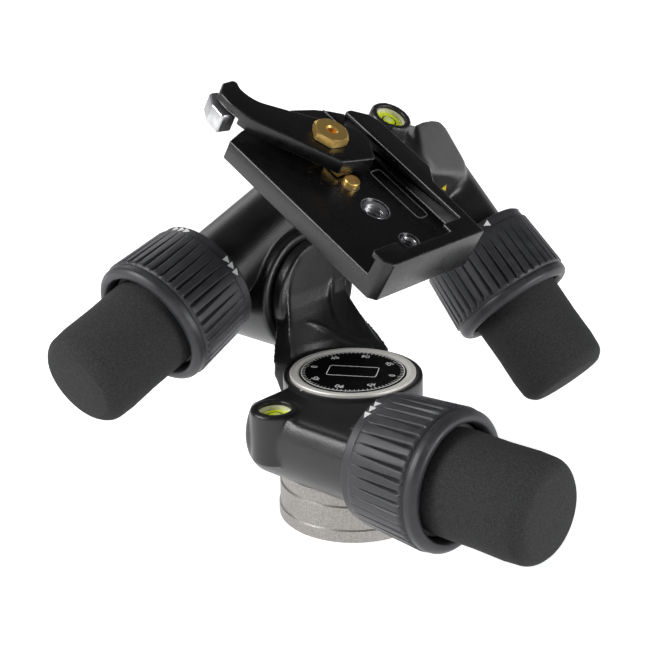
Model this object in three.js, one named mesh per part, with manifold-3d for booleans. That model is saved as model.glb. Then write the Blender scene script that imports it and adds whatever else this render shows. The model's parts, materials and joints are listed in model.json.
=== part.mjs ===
// A geared tripod head: three worm stages turn the pan housing, the front tilt body and the
// side tilt body, and a quick release adapter on top carries the camera plate.
//
// Millimetres, +Z up. The origin is the middle of the base's underside, on the pan axis.
// +X is the direction of the pan knob and of the front tilt axis, and +Y points to the back.
// Every stage has the same frame of its own: Z is the wheel's axis, X is the worm's axis and
// the way its knob points, and the worm lies on the -Y side of the wheel.
import * as THREE from "three";
import { mergeVertices } from "three/addons/utils/BufferGeometryUtils.js";
import Module from "manifold-3d";

const wasm = await Module();
wasm.setup();

const DEGREE = Math.PI / 180;
const FULL_TURN = 2 * Math.PI;

// Clearances and one overrun that every cut shares
const FIT = 0.3;
const RUNNING_GAP = 0.5;
const OVERRUN = 1;
const MERGE = 0.001;

// The rest pose is the photographed one
const FRONT_TILT_AT_REST = 0;
const SIDE_TILT_AT_REST = 30;

// Base
const BASE_RADIUS = 30;
const BASE_HEIGHT = 20.6;
const BASE_LEDGE = 0.8;
const BASE_LOWER_LEDGE_HEIGHT = 4.6;
const BASE_UPPER_LEDGE_HEIGHT = 15;
const BASE_EDGE = 0.8;
const SOCKET_RADIUS = 4.75;
const SOCKET_DEPTH = 12;
const SOCKET_BUSH_WALL = 2.4;
const SPINDLE_FOOT_RADIUS = 19;
const SPINDLE_FOOT_THICKNESS = 3;
const SPINDLE_RADIUS = 10;
const SPINDLE_NECK_RADIUS = 8;
const THRUST_WASHER_THICKNESS = 0.8;
const BASE_SCREWS = 3;
const BASE_SCREW_CIRCLE = 14.5;
const BASE_SCREW_RADIUS = 2.4;
const BASE_SCREW_HEAD_RADIUS = 4.2;
const BASE_SCREW_HEAD_HEIGHT = 4;
const BASE_SCREW_SINK = 1.5;
const BASE_SCREW_SOCKET_RADIUS = 2;

// Pan housing
const PAN_WHEEL_GAP = 1.05;
const HOUSING_WALL = 2.3;
const HOUSING_TOP = 58.5;
const HOUSING_FLOOR = 7;
const HOUSING_RIM_EDGE = 0.6;
const BARREL_TOP_FLAT = 57.5;
const BARREL_END_ROUND = 4;
const LEVEL_BOSS_RADIUS = 8.7;
const LEVEL_BOSS_BOTTOM = 38;
const LEVEL_BOSS_FROM_WORM = 13;
const LEVEL_BOSS_RIM = 0.6;

// Dial
const DIAL_RING_WIDTH = 3.6;
const DIAL_RING_HEIGHT = 3.4;
const DIAL_RING_PROUD = 0.9;
const DIAL_FACE_SINK = 0.3;
const DIAL_CARRIER_THICKNESS = 2.4;

// Bubble levels
const VIAL_RADIUS = 6.5;
const VIAL_HEIGHT = 5;
const VIAL_DOME = 0.6;

// Gear stages. The teeth, the wheel's pitch radius and the centre distance fix both gears.
const PAN_STAGE = {
  teeth: 36,
  wheelRadius: 22.5,
  centres: 31,
  wheelWidth: 9,
  threadTurns: 4,
  threadBack: 4,
  collarAt: 40.4,
  barrelRadius: 19.7,
  barrelBack: 11.5,
};
const FRONT_STAGE = {
  teeth: 36,
  wheelRadius: 18,
  centres: 24,
  wheelWidth: 7,
  threadTurns: 5,
  threadBack: 9,
  collarAt: 31,
  barrelRadius: 15.3,
  barrelBack: 21,
  drumNear: 19.8,
};
const SIDE_STAGE = { ...FRONT_STAGE, barrelRadius: 16.5, drumNear: 17.3 };
const PAN_WORM_HEIGHT = 46;
const TOOTH_CLEARANCE = 0.25;
const TOOTH_BACKLASH = 0.34;
const THREAD_STEPS = 8;
const THREAD_ROOT_SINK = 0.4;

// Where the two tilt axes lie, and how far each knob drops below its body's level line
const FRONT_AXIS_Y = 20.7;
const FRONT_AXIS_Z = 77.5;
const FRONT_WHEEL_X = -61.5;
const FRONT_KNOB_DROP = 20;
const SIDE_AXIS_X = -56.3;
const SIDE_AXIS_Z = 89.7;
const SIDE_WHEEL_Y = 98.2;
const SIDE_KNOB_DROP = 15;

// Drums, axles and hubs of the two tilt stages
const AXLE_RADIUS = 6;
const AXLE_SEAT_DEPTH = 12;
const DRUM_WHEEL_GAP = 2.5;
const DRUM_WALL = 4;
const DRUM_PAST_BARREL = 0.8;
const DRUM_EDGE = 2;
const DRUM_CAP_THICKNESS = 4;
const WHEEL_ROOM = 1.2;
const HUB_RADIUS = 21;
const HUB_FRONT = 8;

// Arm
const ARM_PLATE_THICKNESS = 5;
const ARM_PLATE_RADIUS = 22;
const ARM_SEAT_FLOOR = 1.6;
const ARM_ROOT_SINK = 0.9;
const ARM_ROOT_PROUD = 7.9;
const ARM_ROOT_BOTTOM = 30;
const ARM_ROOT_MIDDLE = 52;
const ARM_ROOT_FROM_ANGLE = 104;
const ARM_ROOT_TO_ANGLE = 197;
const ARM_TOP = 80;
const ARM_TOP_FRONT_Y = 2;
const ARM_TOP_BACK_Y = 37;
const ARM_STEPS = 6;
const ARM_POINTS = 10;

// Knob with its quick setting ring
const SHAFT_RADIUS = 4;
const SHAFT_TAIL_RADIUS = 3;
const BARREL_END_WALL = 3;
const WORM_BORE_GAP = 0.6;
const BEARING_LENGTH = 7;
const BEARING_WALL = 2;
const BEARING_NOSE_LENGTH = 3.8;
const BEARING_NOSE_RADIUS = 8.5;
const RING_BAND_RADIUS = 24.1;
const RING_BAND_WIDTH = 4.6;
const RING_RIB_LENGTH = 25;
const RING_RIB_START_RADIUS = 25.2;
const RING_RIB_END_RADIUS = 26.6;
const RING_RIB_HEIGHT = 0.9;
const RING_RIBS = 28;
const RING_RIB_SHARE = 0.62;
const RING_LIP_RADIUS = 25.5;
const RING_LIP_LENGTH = 5.8;
const RING_LIP_END_RADIUS = 23.9;
const RING_MOUTH_RADIUS = 21.4;
const RING_BACK_THICKNESS = 3.2;
const HUB_FLANGE_RADIUS = 21;
const HUB_FLANGE_THICKNESS = 4;
const HUB_CORE_RADIUS = 12.5;
const HUB_BORE_END_WALL = 3;
const GRIP_RADIUS = 19.65;
const GRIP_REACH = 38.5;
const GRIP_ROUND = 9.2;
const GRIP_WAIST = 0.5;
const GRIP_END_WALL = 9;

// Quick release adapter, in the side tilt body's own frame
const ADAPTER_LEFT = -14.5;
const ADAPTER_LENGTH = 88.8;
const ADAPTER_FRONT_Y = -33.5;
const ADAPTER_WIDTH = 61;
const ADAPTER_FLOOR = 68.6;
const ADAPTER_THICKNESS = 8.2;
const ADAPTER_RAIL_HEIGHT = 9;
const ADAPTER_RAIL_UNDERCUT = 2.6;
const ADAPTER_RAIL_LIP = 2.4;
const ADAPTER_FLOOR_SHARES = [
  [0.08, 0],
  [1, 0],
  [1, 0.885],
  [0.68, 0.91],
  [0.6, 1],
  [0.103, 1],
  [0.067, 0.916],
  [0.034, 0.811],
  [0.004, 0.648],
  [0, 0.5],
  [0.015, 0.32],
  [0.046, 0.139],
];
const ADAPTER_RAIL_INNER_SHARE = 0.825;
const ADAPTER_JAW_INNER_SHARE = 0.895;
const ADAPTER_RAIL_SHARES = [
  [0.18, 0.825],
  [0.895, 0.825],
  [0.895, 0.02],
  [0.905, 0],
  [1, 0],
  [1, 0.885],
  [0.68, 0.91],
  [0.6, 1],
  [0.285, 1],
  [0.23, 0.967],
  [0.18, 0.87],
];
const ADAPTER_MIDDLE_Y = -3;
const LARGE_SCREW_U = 42.5;
const SMALL_SCREW_U = 60.8;
const LARGE_SCREW_RADIUS = 4.75;
const SMALL_SCREW_RADIUS = 3.15;
const ADAPTER_SCREW_SINK = 1.2;
const ADAPTER_SCREW_REACH = 5;
const ADAPTER_SCREW_SLOT = 1.4;

// Lever, its pivot, the clamp jaw, the trigger pin and the safety catch
const LEVER_PIVOT_U = 11.5;
const LEVER_REACH = 38.5;
const LEVER_BOTTOM = 3;
const LEVER_HEIGHT = 6;
const LEVER_EDGE = 0.8;
const LEVER_POINTS = 44;
const LEVER_OUTLINE_SHARES = [
  [-1, -0.52],
  [-0.985, -0.37],
  [-0.83, -0.345],
  [-0.63, -0.34],
  [-0.47, -0.2],
  [-0.04, 0.47],
  [0.235, 0.43],
  [0.38, 0.3],
  [0.36, -0.1],
  [-0.13, -0.39],
  [-0.49, -0.6],
  [-0.74, -0.66],
  [-0.9, -0.63],
];
const PIVOT_NUT_RADIUS = 7.2;
const PIVOT_NUT_HEIGHT = 3;
const PIVOT_STUD_RADIUS = 3.5;
const PIVOT_STUD_SINK = 5;
const CLAMP_JAW_FROM_PIVOT = 5;
const CLAMP_JAW_REACH = 12.5;
const CLAMP_JAW_FRONT_Y = -3;
const CLAMP_JAW_WIDTH = 9;
const CLAMP_JAW_SINK = 2;
const TRIGGER_RADIUS = 3.1;
const TRIGGER_PROUD = 2.5;
const TRIGGER_LENGTH = 7;
const TRIGGER_U = 28.6;
const TRIGGER_TRAVEL = 2;
const TRIGGER_SLOT = 1;
const CATCH_THICKNESS = 2;
const CATCH_HEIGHT = 7.6;
const CATCH_PIN_RADIUS = 1.5;
const CATCH_PIN_SHARES = [-0.83, -0.55];
const CATCH_PLATE_SHARES = [
  [-1.16, -0.42],
  [-0.96, -0.7],
  [-0.72, -0.78],
  [-0.66, -0.62],
  [-0.7, -0.44],
  [-0.98, -0.36],
];
const CATCH_TAB_SHARES = [
  [-1.16, -0.42],
  [-0.96, -0.7],
  [-0.72, -0.78],
  [-0.68, -0.7],
  [-0.91, -0.62],
  [-1.09, -0.38],
];

// Bridge between the side drum and the adapter
const BRIDGE_THICKNESS = 9;
const BRIDGE_LEFT = -9;
const BRIDGE_RIGHT = 22;
const BRIDGE_LEFT_DEPTH = 19;
const BRIDGE_RIGHT_DEPTH = 27;
const BRIDGE_FLAT_TO_Y = 38;
const BRIDGE_SHARES = [
  [0.35, 0.12],
  [0.72, 0.6],
  [1, 1],
];
const BRIDGE_PAD_LEFT = -1;
const BRIDGE_PAD_RIGHT = 66;
const BRIDGE_PAD_FRONT_Y = -21;
const BRIDGE_PAD_BACK_Y = 20;
const TOP_LEVEL_U = 0.4;
const TOP_LEVEL_Y = 52;
const TOP_LEVEL_TOP = 66.6;

// Smoothness of round pieces
const FINE = 36;
const ROUND = 24;
const SMALL = 16;
const TINY = 10;
const CORNER_STEPS = 3;

const FINISHES = {
  castBlack: { color: 0x1d1d1f, roughness: 0.45, metalness: 0.3 },
  platePaint: { color: 0x0d0d0e, roughness: 0.3, metalness: 0.3 },
  baseMetal: { color: 0xa8a29a, roughness: 0.45, metalness: 0.85 },
  dialMetal: { color: 0xc9c2b6, roughness: 0.35, metalness: 0.9 },
  dialBlack: { color: 0x070708, roughness: 0.15, metalness: 0 },
  steel: { color: 0xb4b6b8, roughness: 0.3, metalness: 1 },
  darkSteel: { color: 0x4a4b4e, roughness: 0.4, metalness: 1 },
  brass: { color: 0xc99a3c, roughness: 0.28, metalness: 1 },
  bronze: { color: 0xb07b3e, roughness: 0.4, metalness: 1 },
  nylon: { color: 0xd8d6cf, roughness: 0.6, metalness: 0 },
  ringRubber: { color: 0x19191a, roughness: 0.6, metalness: 0 },
  gripFoam: { color: 0x161617, roughness: 0.95, metalness: 0 },
  knobPlastic: { color: 0x101011, roughness: 0.5, metalness: 0 },
  vialFluid: { color: 0xcfe03a, roughness: 0.1, metalness: 0 },
};

// Solids

function toSolid(geometry) {
  const bare = geometry.index ? geometry.toNonIndexed() : geometry.clone();
  bare.deleteAttribute("normal");
  bare.deleteAttribute("uv");
  const merged = mergeVertices(bare, MERGE);
  const corners = merged.index.array;
  const kept = [];
  for (let i = 0; i < corners.length; i += 3) {
    const [a, b, c] = [corners[i], corners[i + 1], corners[i + 2]];
    if (a !== b && b !== c && c !== a) kept.push(a, b, c);
  }
  const vertices = merged.getAttribute("position").array;
  const make = (triangles) =>
    new wasm.Manifold(
      new wasm.Mesh({
        numProp: 3,
        vertProperties: vertices,
        triVerts: new Uint32Array(triangles),
      }),
    );
  const solid = make(kept);
  return solid.volume() < 0 ? make(kept.reverse()) : solid;
}

function toGeometry(solid) {
  const mesh = solid.getMesh();
  const geometry = new THREE.BufferGeometry();
  const places = new THREE.BufferAttribute(new Float32Array(mesh.vertProperties), 3);
  geometry.setAttribute("position", places);
  geometry.setIndex(new THREE.BufferAttribute(new Uint32Array(mesh.triVerts), 1));
  return geometry;
}

function join(...pieces) {
  return toGeometry(pieces.map(toSolid).reduce((whole, piece) => whole.add(piece)));
}

function cut(piece, ...tools) {
  return toGeometry(tools.map(toSolid).reduce((left, tool) => left.subtract(tool), toSolid(piece)));
}

// A profile of [radius, height] pairs turned about Z
function turned(profile, segments) {
  const points = profile.map(([radius, height]) => new THREE.Vector2(radius, height));
  return new THREE.LatheGeometry(points, segments).rotateX(Math.PI / 2);
}

function rod(radius, from, to, segments = ROUND) {
  const profile = [
    [0, from],
    [radius, from],
    [radius, to],
    [0, to],
  ];
  return turned(profile, segments);
}

function sleeve(inner, outer, from, to, segments = ROUND) {
  const profile = [
    [inner, from],
    [outer, from],
    [outer, to],
    [inner, to],
    [inner, from],
  ];
  return turned(profile, segments);
}

// Points of a quarter round between two directions, about a centre
function arcPoints(centre, radius, fromDegrees, toDegrees, steps) {
  return Array.from({ length: steps + 1 }, (_, i) => {
    const angle = (fromDegrees + ((toDegrees - fromDegrees) * i) / steps) * DEGREE;
    return [centre[0] + radius * Math.cos(angle), centre[1] + radius * Math.sin(angle)];
  });
}

// A rod whose two rims are rounded by their own radii
function roundedRod(radius, from, to, fromRound, toRound, segments = ROUND, steps = CORNER_STEPS) {
  const start = fromRound
    ? arcPoints([radius - fromRound, from + fromRound], fromRound, -90, 0, steps)
    : [[radius, from]];
  const end = toRound
    ? arcPoints([radius - toRound, to - toRound], toRound, 0, 90, steps)
    : [[radius, to]];
  return turned([[0, from], ...start, ...end, [0, to]], segments);
}

function block(low, high) {
  const size = high.map((value, i) => value - low[i]);
  const middle = high.map((value, i) => (value + low[i]) / 2);
  return new THREE.BoxGeometry(...size).translate(...middle);
}

// A flat outline in X and Y, drawn up from one height to another
function prism(outline, from, to) {
  const shape = new THREE.Shape(outline.map(([x, y]) => new THREE.Vector2(x, y)));
  const options = { depth: to - from, bevelEnabled: false };
  return new THREE.ExtrudeGeometry(shape, options).translate(0, 0, from);
}

// A skin over loops of equal length, from the lowest up, closed at its first and last loop
function loft(drawnLoops) {
  const turnsBack = THREE.ShapeUtils.isClockWise(drawnLoops[0]);
  const loops = turnsBack ? drawnLoops.map((loop) => loop.toReversed()) : drawnLoops;
  const count = loops[0].length;
  const places = loops.flat();
  const triangles = [];
  for (let level = 0; level < loops.length - 1; level++) {
    for (let i = 0; i < count; i++) {
      const a = level * count + i;
      const b = level * count + ((i + 1) % count);
      triangles.push(a, b, b + count, a, b + count, a + count);
    }
  }
  const capOf = (loop) =>
    THREE.ShapeUtils.triangulateShape(
      loop.map((p) => new THREE.Vector2(p.x, p.y)),
      [],
    );
  const last = (loops.length - 1) * count;
  for (const [a, b, c] of capOf(loops[0])) triangles.push(c, b, a);
  for (const [a, b, c] of capOf(loops.at(-1))) triangles.push(a + last, b + last, c + last);
  const geometry = new THREE.BufferGeometry().setFromPoints(places);
  geometry.setIndex(triangles);
  return geometry;
}

const alongX = (geometry) => geometry.rotateY(Math.PI / 2);
const alongY = (geometry) => geometry.rotateX(-Math.PI / 2);

// A mesh with the finish named
function piece(name, geometry, finish) {
  const shown = geometry.clone();
  shown.computeVertexNormals();
  const mesh = new THREE.Mesh(shown, new THREE.MeshStandardMaterial(FINISHES[finish]));
  mesh.name = name;
  return mesh;
}

// Gears

// Radii and pitches of a stage, from its teeth, its wheel and the centre distance
function gearSizes(stage) {
  const wheel = stage.wheelRadius;
  const worm = stage.centres - wheel;
  const addendum = (2 * wheel) / stage.teeth;
  const dedendum = addendum + TOOTH_CLEARANCE;
  return {
    wheel,
    worm,
    pitch: Math.PI * addendum,
    wheelTip: wheel + addendum,
    wheelRoot: wheel - dedendum,
    wormTip: worm + addendum,
    wormRoot: worm - dedendum,
    leadSlope: addendum / (2 * worm),
    boreRadius: worm + addendum + WORM_BORE_GAP,
  };
}

// Half widths along the pitch line, at the root and at the tip, of one tooth or thread
function toothHalfWidths(gear) {
  const half = (gear.pitch - TOOTH_BACKLASH) / 4;
  const slope = Math.tan(20 * DEGREE) * (gear.wheelTip - gear.wheel);
  return { root: half + slope, tip: half - slope };
}

// The wheel, with a gap of its teeth facing the thread of the worm on its -Y side
function wormWheel(stage, boreRadius) {
  const gear = gearSizes(stage);
  const half = toothHalfWidths(gear);
  const step = FULL_TURN / stage.teeth;
  const firstGap = -Math.PI / 2 + gear.pitch / 4 / gear.wheel;
  const loopAt = (height) => {
    const twist = (height * gear.leadSlope) / gear.wheel;
    return Array.from({ length: stage.teeth }, (_, i) => {
      const middle = firstGap + twist + (i + 0.5) * step;
      return [
        [-half.root / gear.wheel, gear.wheelRoot],
        [-half.tip / gear.wheel, gear.wheelTip],
        [half.tip / gear.wheel, gear.wheelTip],
        [half.root / gear.wheel, gear.wheelRoot],
      ].map(([turn, radius]) => {
        const angle = middle + turn;
        return new THREE.Vector3(radius * Math.cos(angle), radius * Math.sin(angle), height);
      });
    }).flat();
  };
  const reach = stage.wheelWidth / 2;
  const blank = loft([loopAt(-reach), loopAt(reach)]);
  return cut(blank, rod(boreRadius, -reach - OVERRUN, reach + OVERRUN, SMALL));
}

// One thread ridge: a four sided section swept along a right handed helix about Z
function threadRidge(stage) {
  const gear = gearSizes(stage);
  const half = toothHalfWidths(gear);
  const inner = gear.wormRoot - THREAD_ROOT_SINK;
  const section = [
    [inner, -half.root],
    [gear.wormTip, -half.tip],
    [gear.wormTip, half.tip],
    [inner, half.root],
  ];
  const steps = stage.threadTurns * THREAD_STEPS;
  const places = [];
  for (let i = 0; i <= steps; i++) {
    const turns = i / THREAD_STEPS - stage.threadBack / gear.pitch;
    const angle = turns * FULL_TURN;
    for (const [radius, offset] of section) {
      const height = turns * gear.pitch + offset;
      places.push(new THREE.Vector3(radius * Math.cos(angle), radius * Math.sin(angle), height));
    }
  }
  const triangles = [];
  const sides = section.length;
  for (let i = 0; i < steps; i++) {
    for (let k = 0; k < sides; k++) {
      const a = i * sides + k;
      const b = i * sides + ((k + 1) % sides);
      triangles.push(a, b, b + sides, a, b + sides, a + sides);
    }
  }
  const last = steps * sides;
  triangles.push(2, 1, 0, 3, 2, 0, last, last + 1, last + 2, last, last + 2, last + 3);
  const geometry = new THREE.BufferGeometry().setFromPoints(places);
  geometry.setIndex(triangles);
  return geometry;
}

// Where the worm's room in its barrel begins, and where the thread's last turn ends
function wormRoomStart(stage) {
  return -stage.threadBack - gearSizes(stage).pitch / 2 - RUNNING_GAP;
}

// The worm with its shaft, about Z: its middle is at the origin and the knob end is up
function wormShaft(stage) {
  const gear = gearSizes(stage);
  const at = knobPlaces(stage);
  const coreFrom = wormRoomStart(stage) + RUNNING_GAP;
  const coreTo = coreFrom + (stage.threadTurns + 1) * gear.pitch;
  const core = turned(
    [
      [0, -stage.barrelBack + BARREL_END_WALL + FIT],
      [SHAFT_TAIL_RADIUS, -stage.barrelBack + BARREL_END_WALL + FIT],
      [SHAFT_TAIL_RADIUS, coreFrom],
      [gear.wormRoot, coreFrom],
      [gear.wormRoot, coreTo],
      [SHAFT_RADIUS, coreTo],
      [SHAFT_RADIUS, at.shaftEnd],
      [0, at.shaftEnd],
    ],
    SMALL,
  );
  return join(core, threadRidge(stage));
}

// Knob

// Places along the knob, counted from the middle of the worm
function knobPlaces(stage) {
  const collar = stage.collarAt;
  const ribStart = collar + RING_BAND_WIDTH;
  const ribEnd = ribStart + RING_RIB_LENGTH;
  const lipEnd = ribEnd + RING_LIP_LENGTH;
  const flangeEnd = ribEnd + FIT;
  const gripStart = flangeEnd + FIT;
  const gripEnd = lipEnd + GRIP_REACH;
  const coreEnd = gripEnd - GRIP_END_WALL;
  return {
    collar,
    ribStart,
    ribEnd,
    lipEnd,
    flangeStart: flangeEnd - HUB_FLANGE_THICKNESS,
    flangeEnd,
    gripStart,
    gripEnd,
    coreEnd,
    shaftEnd: coreEnd - HUB_BORE_END_WALL,
  };
}

// The ribbed zone: flat topped ribs that flare towards the knob
function ribZone(from, to) {
  const loopAt = (height, tipRadius) =>
    Array.from({ length: RING_RIBS }, (_, i) => {
      const step = FULL_TURN / RING_RIBS;
      const half = (RING_RIB_SHARE * step) / 2;
      const slope = half / 4;
      return [
        [-half - slope, tipRadius - RING_RIB_HEIGHT],
        [-half, tipRadius],
        [half, tipRadius],
        [half + slope, tipRadius - RING_RIB_HEIGHT],
      ].map(([turn, radius]) => {
        const angle = i * step + turn;
        return new THREE.Vector3(radius * Math.cos(angle), radius * Math.sin(angle), height);
      });
    }).flat();
  return loft([loopAt(from, RING_RIB_START_RADIUS), loopAt(to, RING_RIB_END_RADIUS)]);
}

function quickSetRing(stage) {
  const at = knobPlaces(stage);
  const back = at.collar + FIT;
  const band = turned(
    [
      [0, back],
      [RING_BAND_RADIUS - RING_BAND_WIDTH / 4, back],
      [RING_BAND_RADIUS, back + RING_BAND_WIDTH / 4],
      [RING_BAND_RADIUS, at.ribStart + OVERRUN],
      [0, at.ribStart + OVERRUN],
    ],
    ROUND,
  );
  const lip = turned(
    [
      [0, at.ribEnd - OVERRUN],
      [RING_LIP_RADIUS, at.ribEnd - OVERRUN],
      [RING_LIP_RADIUS, at.ribEnd],
      [(RING_LIP_RADIUS + RING_LIP_END_RADIUS) / 2, (at.ribEnd + at.lipEnd) / 2],
      [RING_LIP_END_RADIUS, at.lipEnd - RING_LIP_LENGTH / 6],
      [RING_LIP_END_RADIUS - RING_LIP_LENGTH / 6, at.lipEnd],
      [0, at.lipEnd],
    ],
    ROUND,
  );
  const hollow = rod(RING_MOUTH_RADIUS, back + RING_BACK_THICKNESS, at.lipEnd + OVERRUN);
  const bore = rod(BEARING_NOSE_RADIUS + FIT, back - OVERRUN, back + RING_BACK_THICKNESS + OVERRUN, SMALL);
  return cut(join(band, ribZone(at.ribStart, at.ribEnd), lip), hollow, bore);
}

function knobHub(stage) {
  const at = knobPlaces(stage);
  const start = at.collar + BEARING_NOSE_LENGTH + FIT;
  const body = turned(
    [
      [0, start],
      [HUB_CORE_RADIUS, start],
      [HUB_CORE_RADIUS, at.flangeStart],
      [HUB_FLANGE_RADIUS, at.flangeStart],
      [HUB_FLANGE_RADIUS, at.flangeEnd],
      [HUB_CORE_RADIUS, at.flangeEnd],
      [HUB_CORE_RADIUS, at.coreEnd],
      [0, at.coreEnd],
    ],
    ROUND,
  );
  return cut(body, rod(SHAFT_RADIUS + FIT, start - OVERRUN, at.shaftEnd + FIT, SMALL));
}

function knobGrip(stage) {
  const at = knobPlaces(stage);
  const dome = arcPoints([GRIP_RADIUS - GRIP_ROUND, at.gripEnd - GRIP_ROUND], GRIP_ROUND, 0, 90, 4);
  const profile = [
    [HUB_CORE_RADIUS + FIT, at.gripStart],
    [GRIP_RADIUS, at.gripStart],
    [GRIP_RADIUS, at.lipEnd],
    [GRIP_RADIUS - GRIP_WAIST, (at.lipEnd + at.gripEnd) / 2],
    ...dome,
    [0, at.gripEnd],
    [0, at.coreEnd + FIT],
    [HUB_CORE_RADIUS + FIT, at.coreEnd + FIT],
    [HUB_CORE_RADIUS + FIT, at.gripStart],
  ];
  return turned(profile, ROUND);
}

function wormBearing(stage) {
  const at = knobPlaces(stage);
  const seat = gearSizes(stage).boreRadius + BEARING_WALL;
  const profile = [
    [SHAFT_RADIUS + FIT, at.collar - BEARING_LENGTH + FIT],
    [seat - FIT, at.collar - BEARING_LENGTH + FIT],
    [seat - FIT, at.collar],
    [BEARING_NOSE_RADIUS, at.collar],
    [BEARING_NOSE_RADIUS, at.collar + BEARING_NOSE_LENGTH],
    [SHAFT_RADIUS + FIT, at.collar + BEARING_NOSE_LENGTH],
    [SHAFT_RADIUS + FIT, at.collar - BEARING_LENGTH + FIT],
  ];
  return turned(profile, SMALL);
}

// What a barrel is bored out for: the worm, its tail and the bearing, about Z
function barrelBores(stage) {
  const gear = gearSizes(stage);
  const at = knobPlaces(stage);
  const tailFrom = -stage.barrelBack + BARREL_END_WALL;
  const tailRoom = rod(SHAFT_TAIL_RADIUS + FIT, tailFrom, at.collar, SMALL);
  const wormRoom = rod(gear.boreRadius, wormRoomStart(stage), at.collar + OVERRUN);
  const seat = rod(gear.boreRadius + BEARING_WALL, at.collar - BEARING_LENGTH, at.collar + OVERRUN);
  return [tailRoom, wormRoom, seat];
}

function barrel(stage) {
  const back = -stage.barrelBack;
  return roundedRod(stage.barrelRadius, back, stage.collarAt, BARREL_END_ROUND, 0, FINE);
}

// The frame in which a stage's knob, worm and barrel are turned about Z
function knobFrame(stage) {
  const frame = new THREE.Group();
  frame.position.set(0, -stage.centres, 0);
  frame.rotation.y = Math.PI / 2;
  return frame;
}

// A stage's own frame, from where its wheel is, how it turns and where its knob points
function stageFrame(centre, wheelAxis, knobDirection) {
  const frame = new THREE.Group();
  const away = new THREE.Vector3().crossVectors(wheelAxis, knobDirection);
  frame.matrix.makeBasis(knobDirection, away, wheelAxis).setPosition(centre);
  frame.matrix.decompose(frame.position, frame.quaternion, frame.scale);
  return frame;
}

// Geometry from a knob frame, carried into the frame of the casting that holds it
function fromKnobFrame(geometry, stageGroup, stage) {
  const knob = knobFrame(stage);
  knob.updateMatrix();
  stageGroup.updateMatrix();
  return geometry.clone().applyMatrix4(knob.matrix).applyMatrix4(stageGroup.matrix);
}

function knobSet(prefix, stage) {
  const knob = knobFrame(stage);
  knob.add(
    piece(prefix + "_worm", wormShaft(stage), "steel"),
    piece(prefix + "_worm_bearing", wormBearing(stage), "bronze"),
    piece(prefix + "_quick_set_ring", quickSetRing(stage), "ringRubber"),
    piece(prefix + "_knob_hub", knobHub(stage), "knobPlastic"),
    piece(prefix + "_knob_grip", knobGrip(stage), "gripFoam"),
  );
  return knob;
}

// Base, spindle and dial

function baseScrewPlaces() {
  return Array.from({ length: BASE_SCREWS }, (_, i) => {
    const angle = (FULL_TURN * i) / BASE_SCREWS;
    return [BASE_SCREW_CIRCLE * Math.cos(angle), BASE_SCREW_CIRCLE * Math.sin(angle)];
  });
}

function tripodBase() {
  const narrow = BASE_RADIUS - BASE_LEDGE;
  const body = turned(
    [
      [0, 0],
      [BASE_RADIUS - BASE_EDGE, 0],
      [BASE_RADIUS, BASE_EDGE],
      [BASE_RADIUS, BASE_LOWER_LEDGE_HEIGHT],
      [narrow, BASE_LOWER_LEDGE_HEIGHT + BASE_LEDGE],
      [BASE_RADIUS, BASE_LOWER_LEDGE_HEIGHT + 2 * BASE_LEDGE],
      [BASE_RADIUS, BASE_UPPER_LEDGE_HEIGHT],
      [narrow - BASE_LEDGE, BASE_UPPER_LEDGE_HEIGHT + BASE_LEDGE],
      [narrow - BASE_LEDGE, BASE_HEIGHT],
      [0, BASE_HEIGHT],
    ],
    FINE,
  );
  const recessFloor = BASE_HEIGHT - SPINDLE_FOOT_THICKNESS - FIT;
  const recess = rod(SPINDLE_FOOT_RADIUS + FIT, recessFloor, BASE_HEIGHT + OVERRUN);
  const socket = rod(SOCKET_RADIUS + SOCKET_BUSH_WALL + FIT, -OVERRUN, SOCKET_DEPTH + FIT, SMALL);
  const holes = baseScrewPlaces().flatMap(([x, y]) => {
    const headRoom = BASE_SCREW_SINK + BASE_SCREW_HEAD_HEIGHT + FIT;
    const hole = rod(BASE_SCREW_RADIUS + FIT, -OVERRUN, recessFloor + OVERRUN, TINY);
    const counterbore = rod(BASE_SCREW_HEAD_RADIUS + FIT, -OVERRUN, headRoom, TINY);
    return [hole.translate(x, y, 0), counterbore.translate(x, y, 0)];
  });
  return cut(body, recess, socket, ...holes);
}

function socketBush() {
  return sleeve(SOCKET_RADIUS, SOCKET_RADIUS + SOCKET_BUSH_WALL, FIT, SOCKET_DEPTH, SMALL);
}

function baseScrew() {
  const headTop = BASE_SCREW_SINK + BASE_SCREW_HEAD_HEIGHT;
  const shankEnd = BASE_HEIGHT - 2 * FIT;
  const head = rod(BASE_SCREW_HEAD_RADIUS, BASE_SCREW_SINK, headTop, TINY);
  const shank = rod(BASE_SCREW_RADIUS, headTop - FIT, shankEnd, TINY);
  const socketTop = BASE_SCREW_SINK + BASE_SCREW_HEAD_HEIGHT / 2;
  const socket = rod(BASE_SCREW_SOCKET_RADIUS, BASE_SCREW_SINK - OVERRUN, socketTop, 6);
  return cut(join(head, shank), socket);
}

// The housing goes round the pan wheel, and the dial lies in the same room on top of it
const panRoomRadius = gearSizes(PAN_STAGE).wheelTip + PAN_WHEEL_GAP;
const dialRingRadius = panRoomRadius - FIT;
const housingRadius = panRoomRadius + HOUSING_WALL;
const carrierTop = HOUSING_TOP + DIAL_RING_PROUD - DIAL_RING_HEIGHT - FIT;
const carrierBottom = carrierTop - DIAL_CARRIER_THICKNESS;

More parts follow.
